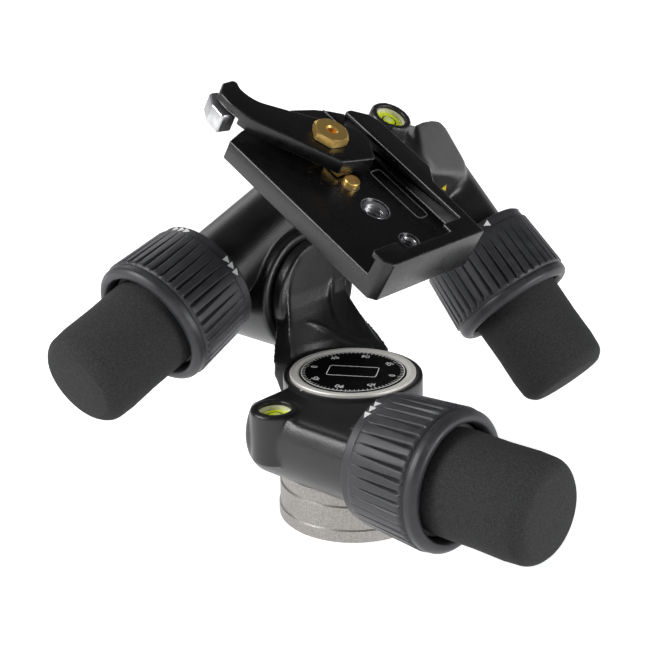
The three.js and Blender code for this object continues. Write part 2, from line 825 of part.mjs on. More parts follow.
function panSpindle() {
  const footBottom = BASE_HEIGHT - SPINDLE_FOOT_THICKNESS;
  const neckFrom = PAN_WORM_HEIGHT - PAN_STAGE.wheelWidth / 2 - FIT;
  const body = turned(
    [
      [0, footBottom],
      [SPINDLE_FOOT_RADIUS, footBottom],
      [SPINDLE_FOOT_RADIUS, BASE_HEIGHT],
      [SPINDLE_RADIUS, BASE_HEIGHT],
      [SPINDLE_RADIUS, neckFrom],
      [SPINDLE_NECK_RADIUS, neckFrom],
      [SPINDLE_NECK_RADIUS, carrierTop - FIT],
      [0, carrierTop - FIT],
    ],
    ROUND,
  );
  const holes = baseScrewPlaces().map(([x, y]) =>
    rod(BASE_SCREW_RADIUS + FIT, footBottom - OVERRUN, BASE_HEIGHT - FIT, TINY).translate(x, y, 0),
  );
  return cut(body, ...holes);
}

function thrustWasher() {
  const bottom = BASE_HEIGHT + FIT;
  const outer = housingRadius - THRUST_WASHER_THICKNESS;
  return sleeve(SPINDLE_RADIUS + FIT, outer, bottom, bottom + THRUST_WASHER_THICKNESS);
}

const housingBottom = BASE_HEIGHT + THRUST_WASHER_THICKNESS + 2 * FIT;
const housingFloorTop = housingBottom + HOUSING_FLOOR;

function retainingNut() {
  const outer = SPINDLE_RADIUS + HOUSING_FLOOR;
  return sleeve(SPINDLE_RADIUS + FIT, outer, housingFloorTop + FIT, housingFloorTop + HOUSING_FLOOR / 2);
}

function dialCarrier() {
  return sleeve(SPINDLE_NECK_RADIUS + FIT, dialRingRadius, carrierBottom, carrierTop);
}

function dialRing() {
  const top = HOUSING_TOP + DIAL_RING_PROUD;
  const bottom = top - DIAL_RING_HEIGHT;
  const inner = dialRingRadius - DIAL_RING_WIDTH;
  return turned(
    [
      [inner, bottom],
      [dialRingRadius, bottom],
      [dialRingRadius, top - DIAL_FACE_SINK],
      [dialRingRadius - DIAL_FACE_SINK, top],
      [inner + DIAL_FACE_SINK, top],
      [inner, top - DIAL_FACE_SINK],
      [inner, bottom],
    ],
    ROUND,
  );
}

function dialFace() {
  const radius = dialRingRadius - DIAL_RING_WIDTH - FIT;
  const top = HOUSING_TOP + DIAL_RING_PROUD - DIAL_FACE_SINK;
  return rod(radius, carrierTop + FIT, top, FINE);
}

// Pan housing with its arm

// A crescent about the pan axis, as points from its outer side round to its inner side
function crescent(inner, outer, height) {
  const sweep = (radius, from, to) =>
    arcPoints([0, 0], radius, from, to, ARM_POINTS - 1).map(
      ([x, y]) => new THREE.Vector3(x, y, height),
    );
  return [
    ...sweep(outer, ARM_ROOT_FROM_ANGLE, ARM_ROOT_TO_ANGLE),
    ...sweep(inner, ARM_ROOT_TO_ANGLE, ARM_ROOT_FROM_ANGLE),
  ];
}

// The arm's top section: a slab seen from above, with points that pair with the crescent's
function armTopLoop() {
  const side = (x, from, to) =>
    Array.from({ length: ARM_POINTS }, (_, i) => {
      const y = from + ((to - from) * i) / (ARM_POINTS - 1);
      return new THREE.Vector3(x, y, ARM_TOP);
    });
  return [
    ...side(armPlateLeft, ARM_TOP_BACK_Y, ARM_TOP_FRONT_Y),
    ...side(armPlateRight, ARM_TOP_FRONT_Y, ARM_TOP_BACK_Y),
  ];
}

function arm() {
  const inner = housingRadius - ARM_ROOT_SINK;
  const root = crescent(inner - OVERRUN, inner, ARM_ROOT_BOTTOM);
  const shoulder = crescent(inner, housingRadius + ARM_ROOT_PROUD, ARM_ROOT_MIDDLE);
  const top = armTopLoop();
  const between = Array.from({ length: ARM_STEPS }, (_, i) => {
    const share = i / ARM_STEPS;
    const lean = share * share * (3 - 2 * share);
    return shoulder.map((p, k) => {
      const q = p.clone().lerp(top[k], lean);
      q.z = THREE.MathUtils.lerp(ARM_ROOT_MIDDLE, ARM_TOP, share);
      return q;
    });
  });
  const plate = alongX(
    roundedRod(ARM_PLATE_RADIUS, armPlateLeft, armPlateRight, 0, 1, FINE, 1),
  ).translate(0, FRONT_AXIS_Y, FRONT_AXIS_Z);
  return join(loft([root, ...between, top]), plate);
}

function panHousing(panFrame) {
  const rim = HOUSING_RIM_EDGE;
  const cup = roundedRod(housingRadius, housingBottom, HOUSING_TOP, rim, rim, FINE, 1);
  const barrelReach = PAN_STAGE.collarAt + OVERRUN;
  const wormY = -PAN_STAGE.centres;
  const flat = block(
    [-barrelReach, wormY - 2 * PAN_STAGE.barrelRadius, BARREL_TOP_FLAT],
    [barrelReach, 0, BARREL_TOP_FLAT + PAN_STAGE.barrelRadius],
  );
  const body = cut(fromKnobFrame(barrel(PAN_STAGE), panFrame, PAN_STAGE), flat);
  const boss = roundedRod(LEVEL_BOSS_RADIUS, LEVEL_BOSS_BOTTOM, HOUSING_TOP, rim, rim, SMALL, 1);
  boss.translate(0, wormY - LEVEL_BOSS_FROM_WORM, 0);
  const gearRoom = rod(panRoomRadius, housingFloorTop, HOUSING_TOP + OVERRUN, FINE);
  const spindleBore = rod(SPINDLE_RADIUS + FIT, 0, HOUSING_TOP);
  const bores = barrelBores(PAN_STAGE).map((bore) => fromKnobFrame(bore, panFrame, PAN_STAGE));
  const vialFloor = HOUSING_TOP - VIAL_HEIGHT - FIT;
  const vialRoom = rod(VIAL_RADIUS + FIT, vialFloor, HOUSING_TOP + OVERRUN, SMALL);
  vialRoom.translate(0, wormY - LEVEL_BOSS_FROM_WORM, 0);
  const axleSeat = alongX(
    rod(AXLE_RADIUS + FIT, armPlateLeft - OVERRUN, armSeatEnd, SMALL),
  ).translate(0, FRONT_AXIS_Y, FRONT_AXIS_Z);
  return cut(join(cup, body, boss, arm()), gearRoom, spindleBore, ...bores, vialRoom, axleSeat);
}

function levelVial() {
  const top = -FIT;
  return turned(
    [
      [0, -VIAL_HEIGHT],
      [VIAL_RADIUS, -VIAL_HEIGHT],
      [VIAL_RADIUS, top - VIAL_DOME],
      [VIAL_RADIUS / 2, top - VIAL_DOME / 4],
      [0, top],
    ],
    SMALL,
  );
}

// Tilt bodies. Both have a drum about Z round their wheel. Its near side faces the body before
// it, and its far side is open for a cap.

// Both drums go round the same size of wheel
const drumRoomRadius = gearSizes(FRONT_STAGE).wheelTip + DRUM_WHEEL_GAP;
const drumRadius = drumRoomRadius + DRUM_WALL;

function drumFar(stage) {
  return stage.barrelRadius + DRUM_PAST_BARREL;
}

function drum(stage) {
  return roundedRod(drumRadius, -drumFar(stage), stage.drumNear, 0, DRUM_EDGE, FINE, 1);
}

function drumBores(stage) {
  const open = -drumFar(stage) - OVERRUN;
  const wheelRoom = rod(drumRoomRadius, open, stage.wheelWidth / 2 + WHEEL_ROOM);
  return [wheelRoom, rod(AXLE_RADIUS + FIT, open, stage.drumNear + OVERRUN, SMALL)];
}

// The cap's spigot reaches in past the worm, and the axle's end turns in it
function drumCap(stage) {
  const from = -drumFar(stage) - FIT;
  const spigotTo = -gearSizes(stage).boreRadius - FIT;
  const plate = roundedRod(drumRadius, from - DRUM_CAP_THICKNESS, from, DRUM_EDGE, 0, FINE, 1);
  const spigot = rod(drumRoomRadius - FIT, from - FIT, spigotTo);
  const seat = rod(AXLE_RADIUS + FIT, from, spigotTo + OVERRUN, SMALL);
  return cut(join(plate, spigot), seat);
}

// Front tilt frame: its origin is on the front axis, at X = 0. Its wheel's axis points along
// +X, so the drum's closed side faces the arm and its cap faces -X.
const frontKnob = new THREE.Vector3(
  0,
  -Math.cos(FRONT_KNOB_DROP * DEGREE),
  -Math.sin(FRONT_KNOB_DROP * DEGREE),
);
const frontWheelCentre = new THREE.Vector3(FRONT_WHEEL_X, 0, 0);
const frontDrumRight = FRONT_WHEEL_X + FRONT_STAGE.drumNear;
const armPlateLeft = frontDrumRight + RUNNING_GAP;
const armPlateRight = armPlateLeft + ARM_PLATE_THICKNESS;
const armSeatEnd = armPlateRight - ARM_SEAT_FLOOR;

function onFrontDrum(geometry) {
  return alongX(geometry).translate(FRONT_WHEEL_X, 0, 0);
}

function tiltHousing(frontFrame) {
  const shell = onFrontDrum(drum(FRONT_STAGE));
  const body = fromKnobFrame(barrel(FRONT_STAGE), frontFrame, FRONT_STAGE);
  const hubBack = sideDrumFront - RUNNING_GAP - FRONT_AXIS_Y;
  const hub = alongY(roundedRod(HUB_RADIUS, HUB_FRONT, hubBack, 0, DRUM_EDGE, FINE, 1));
  hub.translate(SIDE_AXIS_X, 0, SIDE_AXIS_Z - FRONT_AXIS_Z);
  const armRoom = rod(ARM_PLATE_RADIUS + 2 * DRUM_EDGE, frontDrumRight, frontDrumRight + HUB_RADIUS);
  const bores = barrelBores(FRONT_STAGE).map((b) => fromKnobFrame(b, frontFrame, FRONT_STAGE));
  const sideSeat = alongY(rod(AXLE_RADIUS + FIT, hubBack - AXLE_SEAT_DEPTH, hubBack + OVERRUN, SMALL));
  sideSeat.translate(SIDE_AXIS_X, 0, SIDE_AXIS_Z - FRONT_AXIS_Z);
  const capRoomTo = -drumFar(FRONT_STAGE);
  const capRoom = rod(drumRadius + FIT, capRoomTo - HUB_RADIUS, capRoomTo);
  const drumHoles = [capRoom, ...drumBores(FRONT_STAGE)].map(onFrontDrum);
  return cut(join(shell, body, hub), alongX(armRoom), ...drumHoles, ...bores, sideSeat);
}

// Side tilt frame: its origin is on the side axis at Y = 0. Its wheel's axis points along +Y.
const sideKnob = new THREE.Vector3(
  Math.cos(SIDE_KNOB_DROP * DEGREE),
  0,
  -Math.sin(SIDE_KNOB_DROP * DEGREE),
);
const sideWheelCentre = new THREE.Vector3(0, SIDE_WHEEL_Y, 0);
const sideDrumFront = SIDE_WHEEL_Y - SIDE_STAGE.drumNear;
const sideDrumBack = SIDE_WHEEL_Y + drumFar(SIDE_STAGE);

const adapterBottom = ADAPTER_FLOOR - ADAPTER_THICKNESS;

// The bridge's side view at one side, as [Y, height, U] points in the side tilt frame. Its top
// falls from the adapter to the drum by the depth given.
function bridgeLoop(u, depth) {
  const top = adapterBottom - FIT;
  const under = top - BRIDGE_THICKNESS;
  const fall = SIDE_WHEEL_Y - BRIDGE_FLAT_TO_Y;
  const slope = BRIDGE_SHARES.map(([along, down]) => [
    BRIDGE_FLAT_TO_Y + along * fall,
    top - down * depth,
  ]);
  return [
    [BRIDGE_PAD_FRONT_Y + BRIDGE_THICKNESS, top],
    [BRIDGE_FLAT_TO_Y, top],
    ...slope,
    [SIDE_WHEEL_Y, AXLE_RADIUS],
    [sideDrumFront, AXLE_RADIUS],
    [sideDrumFront, drumRadius],
    [sideDrumFront - 2 * BRIDGE_THICKNESS, under - BRIDGE_THICKNESS / 3],
    [BRIDGE_PAD_BACK_Y, under],
    [BRIDGE_PAD_FRONT_Y + BRIDGE_THICKNESS, under],
  ].map(([y, height]) => new THREE.Vector3(y, height, u));
}

// The near side of a stage's drum is its +Z side, which is turned to face -Y here
function onSideDrum(geometry) {
  return geometry.rotateX(Math.PI / 2).translate(0, SIDE_WHEEL_Y, 0);
}

function sideHousing(sideFrame) {
  const shell = onSideDrum(drum(SIDE_STAGE));
  const body = fromKnobFrame(barrel(SIDE_STAGE), sideFrame, SIDE_STAGE);
  const web = loft([
    bridgeLoop(BRIDGE_LEFT, BRIDGE_LEFT_DEPTH),
    bridgeLoop(BRIDGE_RIGHT, BRIDGE_RIGHT_DEPTH),
  ]);
  web.applyMatrix4(new THREE.Matrix4().makeBasis(
    new THREE.Vector3(0, 1, 0),
    new THREE.Vector3(0, 0, 1),
    new THREE.Vector3(1, 0, 0),
  ));
  const top = adapterBottom - FIT;
  const pad = block(
    [BRIDGE_PAD_LEFT, BRIDGE_PAD_FRONT_Y, top - BRIDGE_THICKNESS],
    [BRIDGE_PAD_RIGHT, BRIDGE_PAD_BACK_Y, top],
  );
  const bossFrom = top - BRIDGE_THICKNESS / 2;
  const bossTop = TOP_LEVEL_TOP;
  const boss = roundedRod(LEVEL_BOSS_RADIUS, bossFrom, bossTop, 0, LEVEL_BOSS_RIM, SMALL, 1);
  boss.translate(TOP_LEVEL_U, TOP_LEVEL_Y, 0);
  const vialFloor = bossTop - VIAL_HEIGHT - FIT;
  const vialRoom = rod(VIAL_RADIUS + FIT, vialFloor, bossTop + OVERRUN, SMALL);
  vialRoom.translate(TOP_LEVEL_U, TOP_LEVEL_Y, 0);
  const bores = barrelBores(SIDE_STAGE).map((b) => fromKnobFrame(b, sideFrame, SIDE_STAGE));
  const drumHoles = drumBores(SIDE_STAGE).map(onSideDrum);
  const screwFloor = top - ADAPTER_SCREW_REACH - FIT;
  const screwHoles = adapterScrews().map(({ u, radius }) => {
    const hole = rod(radius + FIT, screwFloor, top + OVERRUN, SMALL);
    return hole.translate(u, ADAPTER_MIDDLE_Y, 0);
  });
  return cut(join(shell, body, web, pad, boss), vialRoom, ...drumHoles, ...bores, ...screwHoles);
}

// Quick release adapter

function adapterScrews() {
  return [
    { name: "adapter_screw_large", u: LARGE_SCREW_U, radius: LARGE_SCREW_RADIUS },
    { name: "adapter_screw_small", u: SMALL_SCREW_U, radius: SMALL_SCREW_RADIUS },
  ];
}

function adapterScrew(radius) {
  const top = ADAPTER_FLOOR - ADAPTER_SCREW_SINK;
  const body = rod(radius, adapterBottom - ADAPTER_SCREW_REACH, top, SMALL);
  const slot = ADAPTER_SCREW_SLOT / 2;
  const reach = radius + OVERRUN;
  const groove = block([-reach, -slot, top - ADAPTER_SCREW_SLOT], [reach, slot, top + OVERRUN]);
  return cut(body, groove);
}

// A point of the adapter, from its shares of the adapter's length and width
function adapterPoint([along, across]) {
  return [ADAPTER_LEFT + along * ADAPTER_LENGTH, ADAPTER_FRONT_Y + across * ADAPTER_WIDTH];
}

function adapterPlate() {
  const railTop = ADAPTER_FLOOR + ADAPTER_RAIL_HEIGHT;
  const floor = prism(ADAPTER_FLOOR_SHARES.map(adapterPoint), adapterBottom, ADAPTER_FLOOR);
  const rail = prism(ADAPTER_RAIL_SHARES.map(adapterPoint), ADAPTER_FLOOR - OVERRUN, railTop);
  const [innerU, innerY] = adapterPoint([ADAPTER_JAW_INNER_SHARE, ADAPTER_RAIL_INNER_SHARE]);
  const undercut = block(
    [ADAPTER_LEFT, ADAPTER_FRONT_Y - OVERRUN, ADAPTER_FLOOR],
    [innerU + ADAPTER_RAIL_UNDERCUT, innerY + ADAPTER_RAIL_UNDERCUT, railTop - ADAPTER_RAIL_LIP],
  );
  const holes = adapterScrews().map(({ u, radius }) => {
    const hole = rod(radius + FIT, adapterBottom - OVERRUN, ADAPTER_FLOOR + OVERRUN, SMALL);
    return hole.translate(u, ADAPTER_MIDDLE_Y, 0);
  });
  const pivotHole = rod(PIVOT_STUD_RADIUS + FIT, ADAPTER_FLOOR - PIVOT_STUD_SINK - FIT, railTop, SMALL);
  pivotHole.translate(LEVER_PIVOT_U, ADAPTER_MIDDLE_Y, 0);
  const triggerFloor = ADAPTER_FLOOR + TRIGGER_PROUD - TRIGGER_LENGTH - TRIGGER_TRAVEL - FIT;
  const triggerHole = rod(TRIGGER_RADIUS + FIT, triggerFloor, railTop, SMALL);
  triggerHole.translate(TRIGGER_U, ADAPTER_MIDDLE_Y, 0);
  return cut(join(floor, rail), undercut, ...holes, pivotHole, triggerHole);
}

// Lever pieces, about the pivot

const leverBottom = ADAPTER_FLOOR + LEVER_BOTTOM;
const leverTop = leverBottom + LEVER_HEIGHT;
const clampJawLow = [CLAMP_JAW_FROM_PIVOT, CLAMP_JAW_FRONT_Y, ADAPTER_FLOOR + FIT];
const clampJawHigh = [
  CLAMP_JAW_REACH,
  CLAMP_JAW_FRONT_Y + CLAMP_JAW_WIDTH,
  leverBottom + CLAMP_JAW_SINK,
];
const catchPin = CATCH_PIN_SHARES.map((share) => share * LEVER_REACH);

function clampLever() {
  const corners = LEVER_OUTLINE_SHARES.map(
    ([u, y]) => new THREE.Vector3(u * LEVER_REACH, y * LEVER_REACH, 0),
  );
  const curve = new THREE.CatmullRomCurve3(corners, true, "catmullrom", 0.35);
  const outline = curve.getPoints(LEVER_POINTS).slice(0, -1);
  const body = prism(
    outline.map((p) => [p.x, p.y]),
    leverBottom,
    leverTop,
  );
  const pivot = rod(PIVOT_STUD_RADIUS + FIT, leverBottom - OVERRUN, leverTop + OVERRUN, SMALL);
  const low = clampJawLow.map((value) => value - FIT);
  const high = clampJawHigh.map((value) => value + FIT);
  const pocket = block(low, high);
  const pinHole = rod(CATCH_PIN_RADIUS + FIT, leverBottom - OVERRUN, leverTop - LEVER_EDGE, TINY);
  pinHole.translate(...catchPin, 0);
  return cut(body, pivot, pocket, pinHole);
}

function leverPivot() {
  const top = leverTop + FIT;
  const nut = rod(PIVOT_NUT_RADIUS, top, top + PIVOT_NUT_HEIGHT, 6);
  const stud = rod(PIVOT_STUD_RADIUS, ADAPTER_FLOOR - PIVOT_STUD_SINK, top + FIT, SMALL);
  const crownTop = top + PIVOT_NUT_HEIGHT + LEVER_EDGE;
  const crown = roundedRod(PIVOT_STUD_RADIUS, top, crownTop, 0, LEVER_EDGE, SMALL, 1);
  return join(nut, stud, crown);
}

function triggerPin() {
  const top = ADAPTER_FLOOR + TRIGGER_PROUD;
  const body = roundedRod(TRIGGER_RADIUS, top - TRIGGER_LENGTH, top, 0, TRIGGER_SLOT / 2, SMALL, 1);
  const slot = TRIGGER_SLOT / 2;
  const reach = TRIGGER_RADIUS + OVERRUN;
  return cut(body, block([-reach, -slot, top - TRIGGER_SLOT], [reach, slot, top + OVERRUN]));
}

// A bent steel plate under the lever's tip, hung on its pin, with a tab for the thumb
function safetyCatch() {
  const top = leverBottom - FIT;
  const toLever = ([u, y]) => [u * LEVER_REACH, y * LEVER_REACH];
  const plate = prism(CATCH_PLATE_SHARES.map(toLever), top - CATCH_THICKNESS, top);
  const tab = prism(CATCH_TAB_SHARES.map(toLever), top - CATCH_HEIGHT, top - CATCH_THICKNESS / 2);
  const hole = rod(CATCH_PIN_RADIUS + FIT, top - CATCH_HEIGHT, top + OVERRUN, TINY);
  return cut(join(plate, tab), hole.translate(...catchPin, 0));
}

function catchPinRod() {
  return rod(CATCH_PIN_RADIUS, leverBottom - CATCH_THICKNESS - 2 * FIT, leverTop - LEVER_EDGE - FIT, TINY);
}

// The head, put together

const head = new THREE.Group();

head.add(
  piece("tripod_base", tripodBase(), "baseMetal"),
  piece("socket_bush", socketBush(), "steel"),
  piece("pan_spindle", panSpindle(), "darkSteel"),
  piece("thrust_washer", thrustWasher(), "nylon"),
  piece("retaining_nut", retainingNut(), "darkSteel"),
  piece("dial_carrier", dialCarrier(), "darkSteel"),
  piece("dial_ring", dialRing(), "dialMetal"),
  piece("dial_face", dialFace(), "dialBlack"),
);
baseScrewPlaces().forEach(([x, y], i) => {
  const screw = piece(`base_screw_${i + 1}`, baseScrew(), "steel");
  screw.position.set(x, y, 0);
  head.add(screw);
});

// Pan stage. Its wheel stays with the base, and its worm goes round it with the housing.
const pan = new THREE.Group();
head.add(pan);
const panPose = [
  new THREE.Vector3(0, 0, PAN_WORM_HEIGHT),
  new THREE.Vector3(0, 0, 1),
  new THREE.Vector3(1, 0, 0),
];
const panWheelFrame = stageFrame(...panPose);
panWheelFrame.add(
  piece("pan_worm_wheel", wormWheel(PAN_STAGE, SPINDLE_NECK_RADIUS + FIT), "bronze"),
);
head.add(panWheelFrame);
const panFrame = stageFrame(...panPose);
panFrame.add(knobSet("pan", PAN_STAGE));
const panVial = piece("pan_level_vial", levelVial(), "vialFluid");
panVial.position.set(0, -PAN_STAGE.centres - LEVEL_BOSS_FROM_WORM, HOUSING_TOP);
pan.add(panFrame, piece("pan_housing", panHousing(panFrame), "castBlack"), panVial);

// Front tilt stage. Its wheel is fixed to the arm, so it belongs to the pan group.
const front = new THREE.Group();
front.position.set(0, FRONT_AXIS_Y, FRONT_AXIS_Z);
front.rotation.x = FRONT_TILT_AT_REST * DEGREE;
pan.add(front);
const frontFrame = stageFrame(frontWheelCentre, new THREE.Vector3(1, 0, 0), frontKnob);
frontFrame.add(knobSet("front", FRONT_STAGE));
const frontWheelFrame = stageFrame(
  frontWheelCentre.clone().add(front.position),
  new THREE.Vector3(1, 0, 0),
  frontKnob,
);
frontWheelFrame.add(
  piece("front_worm_wheel", wormWheel(FRONT_STAGE, AXLE_RADIUS + FIT), "bronze"),
);
const frontCap = onFrontDrum(drumCap(FRONT_STAGE));
const frontAxleLeft = FRONT_WHEEL_X - drumFar(FRONT_STAGE);
const frontAxleRight = armSeatEnd - FIT;
const frontAxle = alongX(rod(AXLE_RADIUS, frontAxleLeft, frontAxleRight, SMALL));
const frontAxleMesh = piece("front_axle", frontAxle, "steel");
frontAxleMesh.position.copy(front.position);
pan.add(frontWheelFrame, frontAxleMesh);
front.add(
  frontFrame,
  piece("front_tilt_housing", tiltHousing(frontFrame), "castBlack"),
  piece("front_drum_cap", frontCap, "castBlack"),
);

// Side tilt stage. Its wheel and axle belong to the front tilt group. At rest the side tilt is
// a whole number of teeth from level, so the wheel and the worm are in mesh.
const side = new THREE.Group();
side.position.set(SIDE_AXIS_X, -FRONT_AXIS_Y, SIDE_AXIS_Z - FRONT_AXIS_Z);
side.rotation.y = SIDE_TILT_AT_REST * DEGREE;
front.add(side);
const sideFrame = stageFrame(sideWheelCentre, new THREE.Vector3(0, 1, 0), sideKnob);
sideFrame.add(knobSet("side", SIDE_STAGE));
const sideWheelFrame = stageFrame(
  sideWheelCentre.clone().add(side.position),
  new THREE.Vector3(0, 1, 0),
  sideKnob,
);
sideWheelFrame.add(
  piece("side_worm_wheel", wormWheel(SIDE_STAGE, AXLE_RADIUS + FIT), "bronze"),
);
const sideCap = onSideDrum(drumCap(SIDE_STAGE));
const sideAxleFront = sideDrumFront - RUNNING_GAP - AXLE_SEAT_DEPTH + FIT;
const sideAxle = alongY(rod(AXLE_RADIUS, sideAxleFront, sideDrumBack, SMALL));
const sideAxleMesh = piece("side_axle", sideAxle, "steel");
sideAxleMesh.position.copy(side.position);
front.add(sideWheelFrame, sideAxleMesh);
const topVial = piece("top_level_vial", levelVial(), "vialFluid");
topVial.position.set(TOP_LEVEL_U, TOP_LEVEL_Y, TOP_LEVEL_TOP);
side.add(
  sideFrame,
  piece("side_tilt_housing", sideHousing(sideFrame), "castBlack"),
  piece("side_drum_cap", sideCap, "castBlack"),
  topVial,
  piece("adapter_plate", adapterPlate(), "platePaint"),
);
for (const { name, u, radius } of adapterScrews()) {
  const screw = piece(name, adapterScrew(radius), "steel");
  screw.position.set(u, ADAPTER_MIDDLE_Y, 0);
  side.add(screw);
}
const trigger = piece("trigger_pin", triggerPin(), "brass");
trigger.position.set(TRIGGER_U, ADAPTER_MIDDLE_Y, 0);
side.add(trigger);

// Lever, turning on its pivot
const lever = new THREE.Group();
lever.position.set(LEVER_PIVOT_U, ADAPTER_MIDDLE_Y, 0);
const catchPinMesh = piece("catch_pin", catchPinRod(), "steel");
catchPinMesh.position.set(...catchPin, 0);
lever.add(
  piece("clamp_lever", clampLever(), "platePaint"),
  piece("lever_pivot", leverPivot(), "brass"),
  piece("clamp_jaw", block(clampJawLow, clampJawHigh), "brass"),
  piece("safety_catch", safetyCatch(), "steel"),
  catchPinMesh,
);
side.add(lever);

export default head;
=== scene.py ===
# %% [markdown]
# # A geared tripod head
# Photographers use a head like this to point a heavy camera exactly. Three knobs turn three
# worms, and each worm turns one part of the head by a few degrees at a time. The CAD model
# has every piece in its place already. This lesson dresses it: it builds the pieces that show
# with more detail than the CAD solids have, and gives every piece the finish of the real one.

# %% Load the CAD frame
import json
import math

import bmesh
import bpy
from mathutils import Matrix, Vector
from mathutils.bvhtree import BVHTree

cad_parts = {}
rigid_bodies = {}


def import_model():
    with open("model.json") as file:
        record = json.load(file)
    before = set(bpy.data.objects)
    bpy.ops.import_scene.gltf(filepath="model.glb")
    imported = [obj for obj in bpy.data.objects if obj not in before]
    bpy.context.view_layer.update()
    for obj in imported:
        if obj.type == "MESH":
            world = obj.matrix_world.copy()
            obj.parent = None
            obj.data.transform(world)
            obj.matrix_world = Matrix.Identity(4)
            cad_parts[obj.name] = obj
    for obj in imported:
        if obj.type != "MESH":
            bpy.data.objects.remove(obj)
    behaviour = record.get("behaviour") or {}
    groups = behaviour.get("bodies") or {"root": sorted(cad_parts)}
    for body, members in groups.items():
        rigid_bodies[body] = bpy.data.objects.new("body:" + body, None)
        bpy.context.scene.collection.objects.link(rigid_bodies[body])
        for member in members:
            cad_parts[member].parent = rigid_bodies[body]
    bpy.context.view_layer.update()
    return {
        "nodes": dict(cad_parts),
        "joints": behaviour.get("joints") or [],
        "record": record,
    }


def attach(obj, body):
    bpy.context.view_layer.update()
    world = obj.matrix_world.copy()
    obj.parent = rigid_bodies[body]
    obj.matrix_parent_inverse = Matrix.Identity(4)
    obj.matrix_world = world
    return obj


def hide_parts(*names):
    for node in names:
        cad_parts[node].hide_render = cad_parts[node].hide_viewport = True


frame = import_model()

nodes = frame["nodes"]
joints = {joint["name"]: joint for joint in frame["joints"]}
print("CAD pieces:", len(nodes), "joints:", len(joints))

# %% [markdown]
# ## The camera
# The photograph was taken from the front right, a little above the head, with a long lens
# that keeps the round knobs round. Its focal length was found in pixels of the photograph, so
# the model fills the frame as the head fills the photograph.

# %% Camera
PICTURE_SIDE = 650
SENSOR_WIDTH = 36.0
FOCAL_PIXELS = 1618.5
CAMERA_PLACE = Vector((0.3819, -0.4372, 0.2946))
CAMERA_RIGHT = Vector((0.7460, 0.6656, -0.0198))
CAMERA_UP = Vector((-0.2186, 0.2729, 0.9369))


def placed(name, data):
    """A new object with this data, linked into the scene."""
    made = bpy.data.objects.new(name, data)
    bpy.context.scene.collection.objects.link(made)
    return made


camera_data = bpy.data.cameras.new("camera")
camera_data.sensor_width = SENSOR_WIDTH
camera_data.lens = SENSOR_WIDTH * FOCAL_PIXELS / PICTURE_SIDE
camera_data.clip_start = 0.01
camera = placed("camera", camera_data)
right_axis = CAMERA_RIGHT.normalized()
back_axis = right_axis.cross(CAMERA_UP).normalized()
up_axis = back_axis.cross(right_axis)
camera_axes = Matrix((right_axis, up_axis, back_axis)).transposed().to_4x4()
camera.matrix_world = Matrix.Translation(CAMERA_PLACE) @ camera_axes
bpy.context.scene.camera = camera
print("camera lens", round(camera_data.lens, 1), "mm")

# %% [markdown]
# ## Light and floor
# Product photographs of black things use big soft lamps, because black paint shows little
# but reflections. The strongest lamp stands in front on the left, another shines from low on
# the right, and a weak one stands behind on the left. The white background is only what the
# camera and the reflections see, and it doesn't light the head. High up, the reflections see
# a dark room, which keeps the upper faces black.

# %% Helpers for nodes


def fed(node, inputs):
    """Sets inputs of a node, each to a value or to the (node, output) that feeds it."""
    for socket, value in dict(inputs).items():
        if isinstance(value, tuple) and isinstance(value[0], bpy.types.Node):
            source, output = value
            node.id_data.links.new(source.outputs[output], node.inputs[socket])
        else:
            node.inputs[socket].default_value = value
    return node


def added(tree, kind, inputs=(), **settings):
    """A new node with these inputs and settings."""
    made = tree.nodes.new("ShaderNode" + kind)
    for name, value in settings.items():
        setattr(made, name, value)
    return fed(made, inputs)


def maths(tree, operation, *values):
    return added(tree, "Math", enumerate(values), operation=operation), 0


def rays(tree, *kinds):
    """A node and its output that is 1 for rays of these kinds."""
    path = added(tree, "LightPath")
    found = path, kinds[0]
    for kind in kinds[1:]:
        found = maths(tree, "MAXIMUM", found, (path, kind))
    return found


# %% World
WHITE = (1, 1, 1, 1)
SOFT_BLUE = (0.92, 0.95, 1.0, 1)
DARK_ROOM = (0.09, 0.09, 0.095, 1)
HORIZON, ROOM_STARTS = 0.5, 0.66

world = bpy.data.worlds.new("studio")
bpy.context.scene.world = world
world.use_nodes = True
sky = world.node_tree
sky.nodes.clear()
split = added(sky, "SeparateXYZ", {0: (added(sky, "TexCoord"), "Generated")})
shades = added(sky, "ValToRGB", {0: maths(sky, "MULTIPLY_ADD", (split, "Z"), 0.5, 0.5)})
below, above = shades.color_ramp.elements
below.position, below.color = HORIZON, WHITE
above.position, above.color = ROOM_STARTS, DARK_ROOM
lit = added(sky, "Background", {"Color": SOFT_BLUE, "Strength": 0.3})
mirrored = added(sky, "Background", {"Color": (shades, "Color"), "Strength": 0.9})
seen = added(sky, "Background", {"Color": WHITE})
unseen = added(sky, "MixShader", {0: rays(sky, "Is Glossy Ray"), 1: (lit, 0), 2: (mirrored, 0)})
seen_rays = rays(sky, "Is Camera Ray", "Is Transmission Ray")
every = added(sky, "MixShader", {0: seen_rays, 1: (unseen, 0), 2: (seen, 0)})
added(sky, "OutputWorld", {"Surface": (every, 0)})
print("world: white to the camera, soft light to the object")

# %% Lamps
HEAD_MIDDLE = Vector((0.0, 0.0, 0.09))


def lamp(name, place, width, power):
    """A round lamp that faces the middle of the head."""
    data = bpy.data.lights.new(name, "AREA")
    data.shape = "DISK"
    data.size = width
    data.energy = power
    made = placed(name, data)
    made.location = place
    made.rotation_mode = "QUATERNION"
    made.rotation_quaternion = (HEAD_MIDDLE - Vector(place)).to_track_quat("-Z", "Y")


lamp("left_lamp", (-1.0, 0.45, 0.8), 0.6, 2.0)
lamp("right_lamp", (1.25, 0.3, 0.25), 0.7, 11.0)
lamp("front_lamp", (-0.6, -0.9, 0.75), 0.7, 14.0)

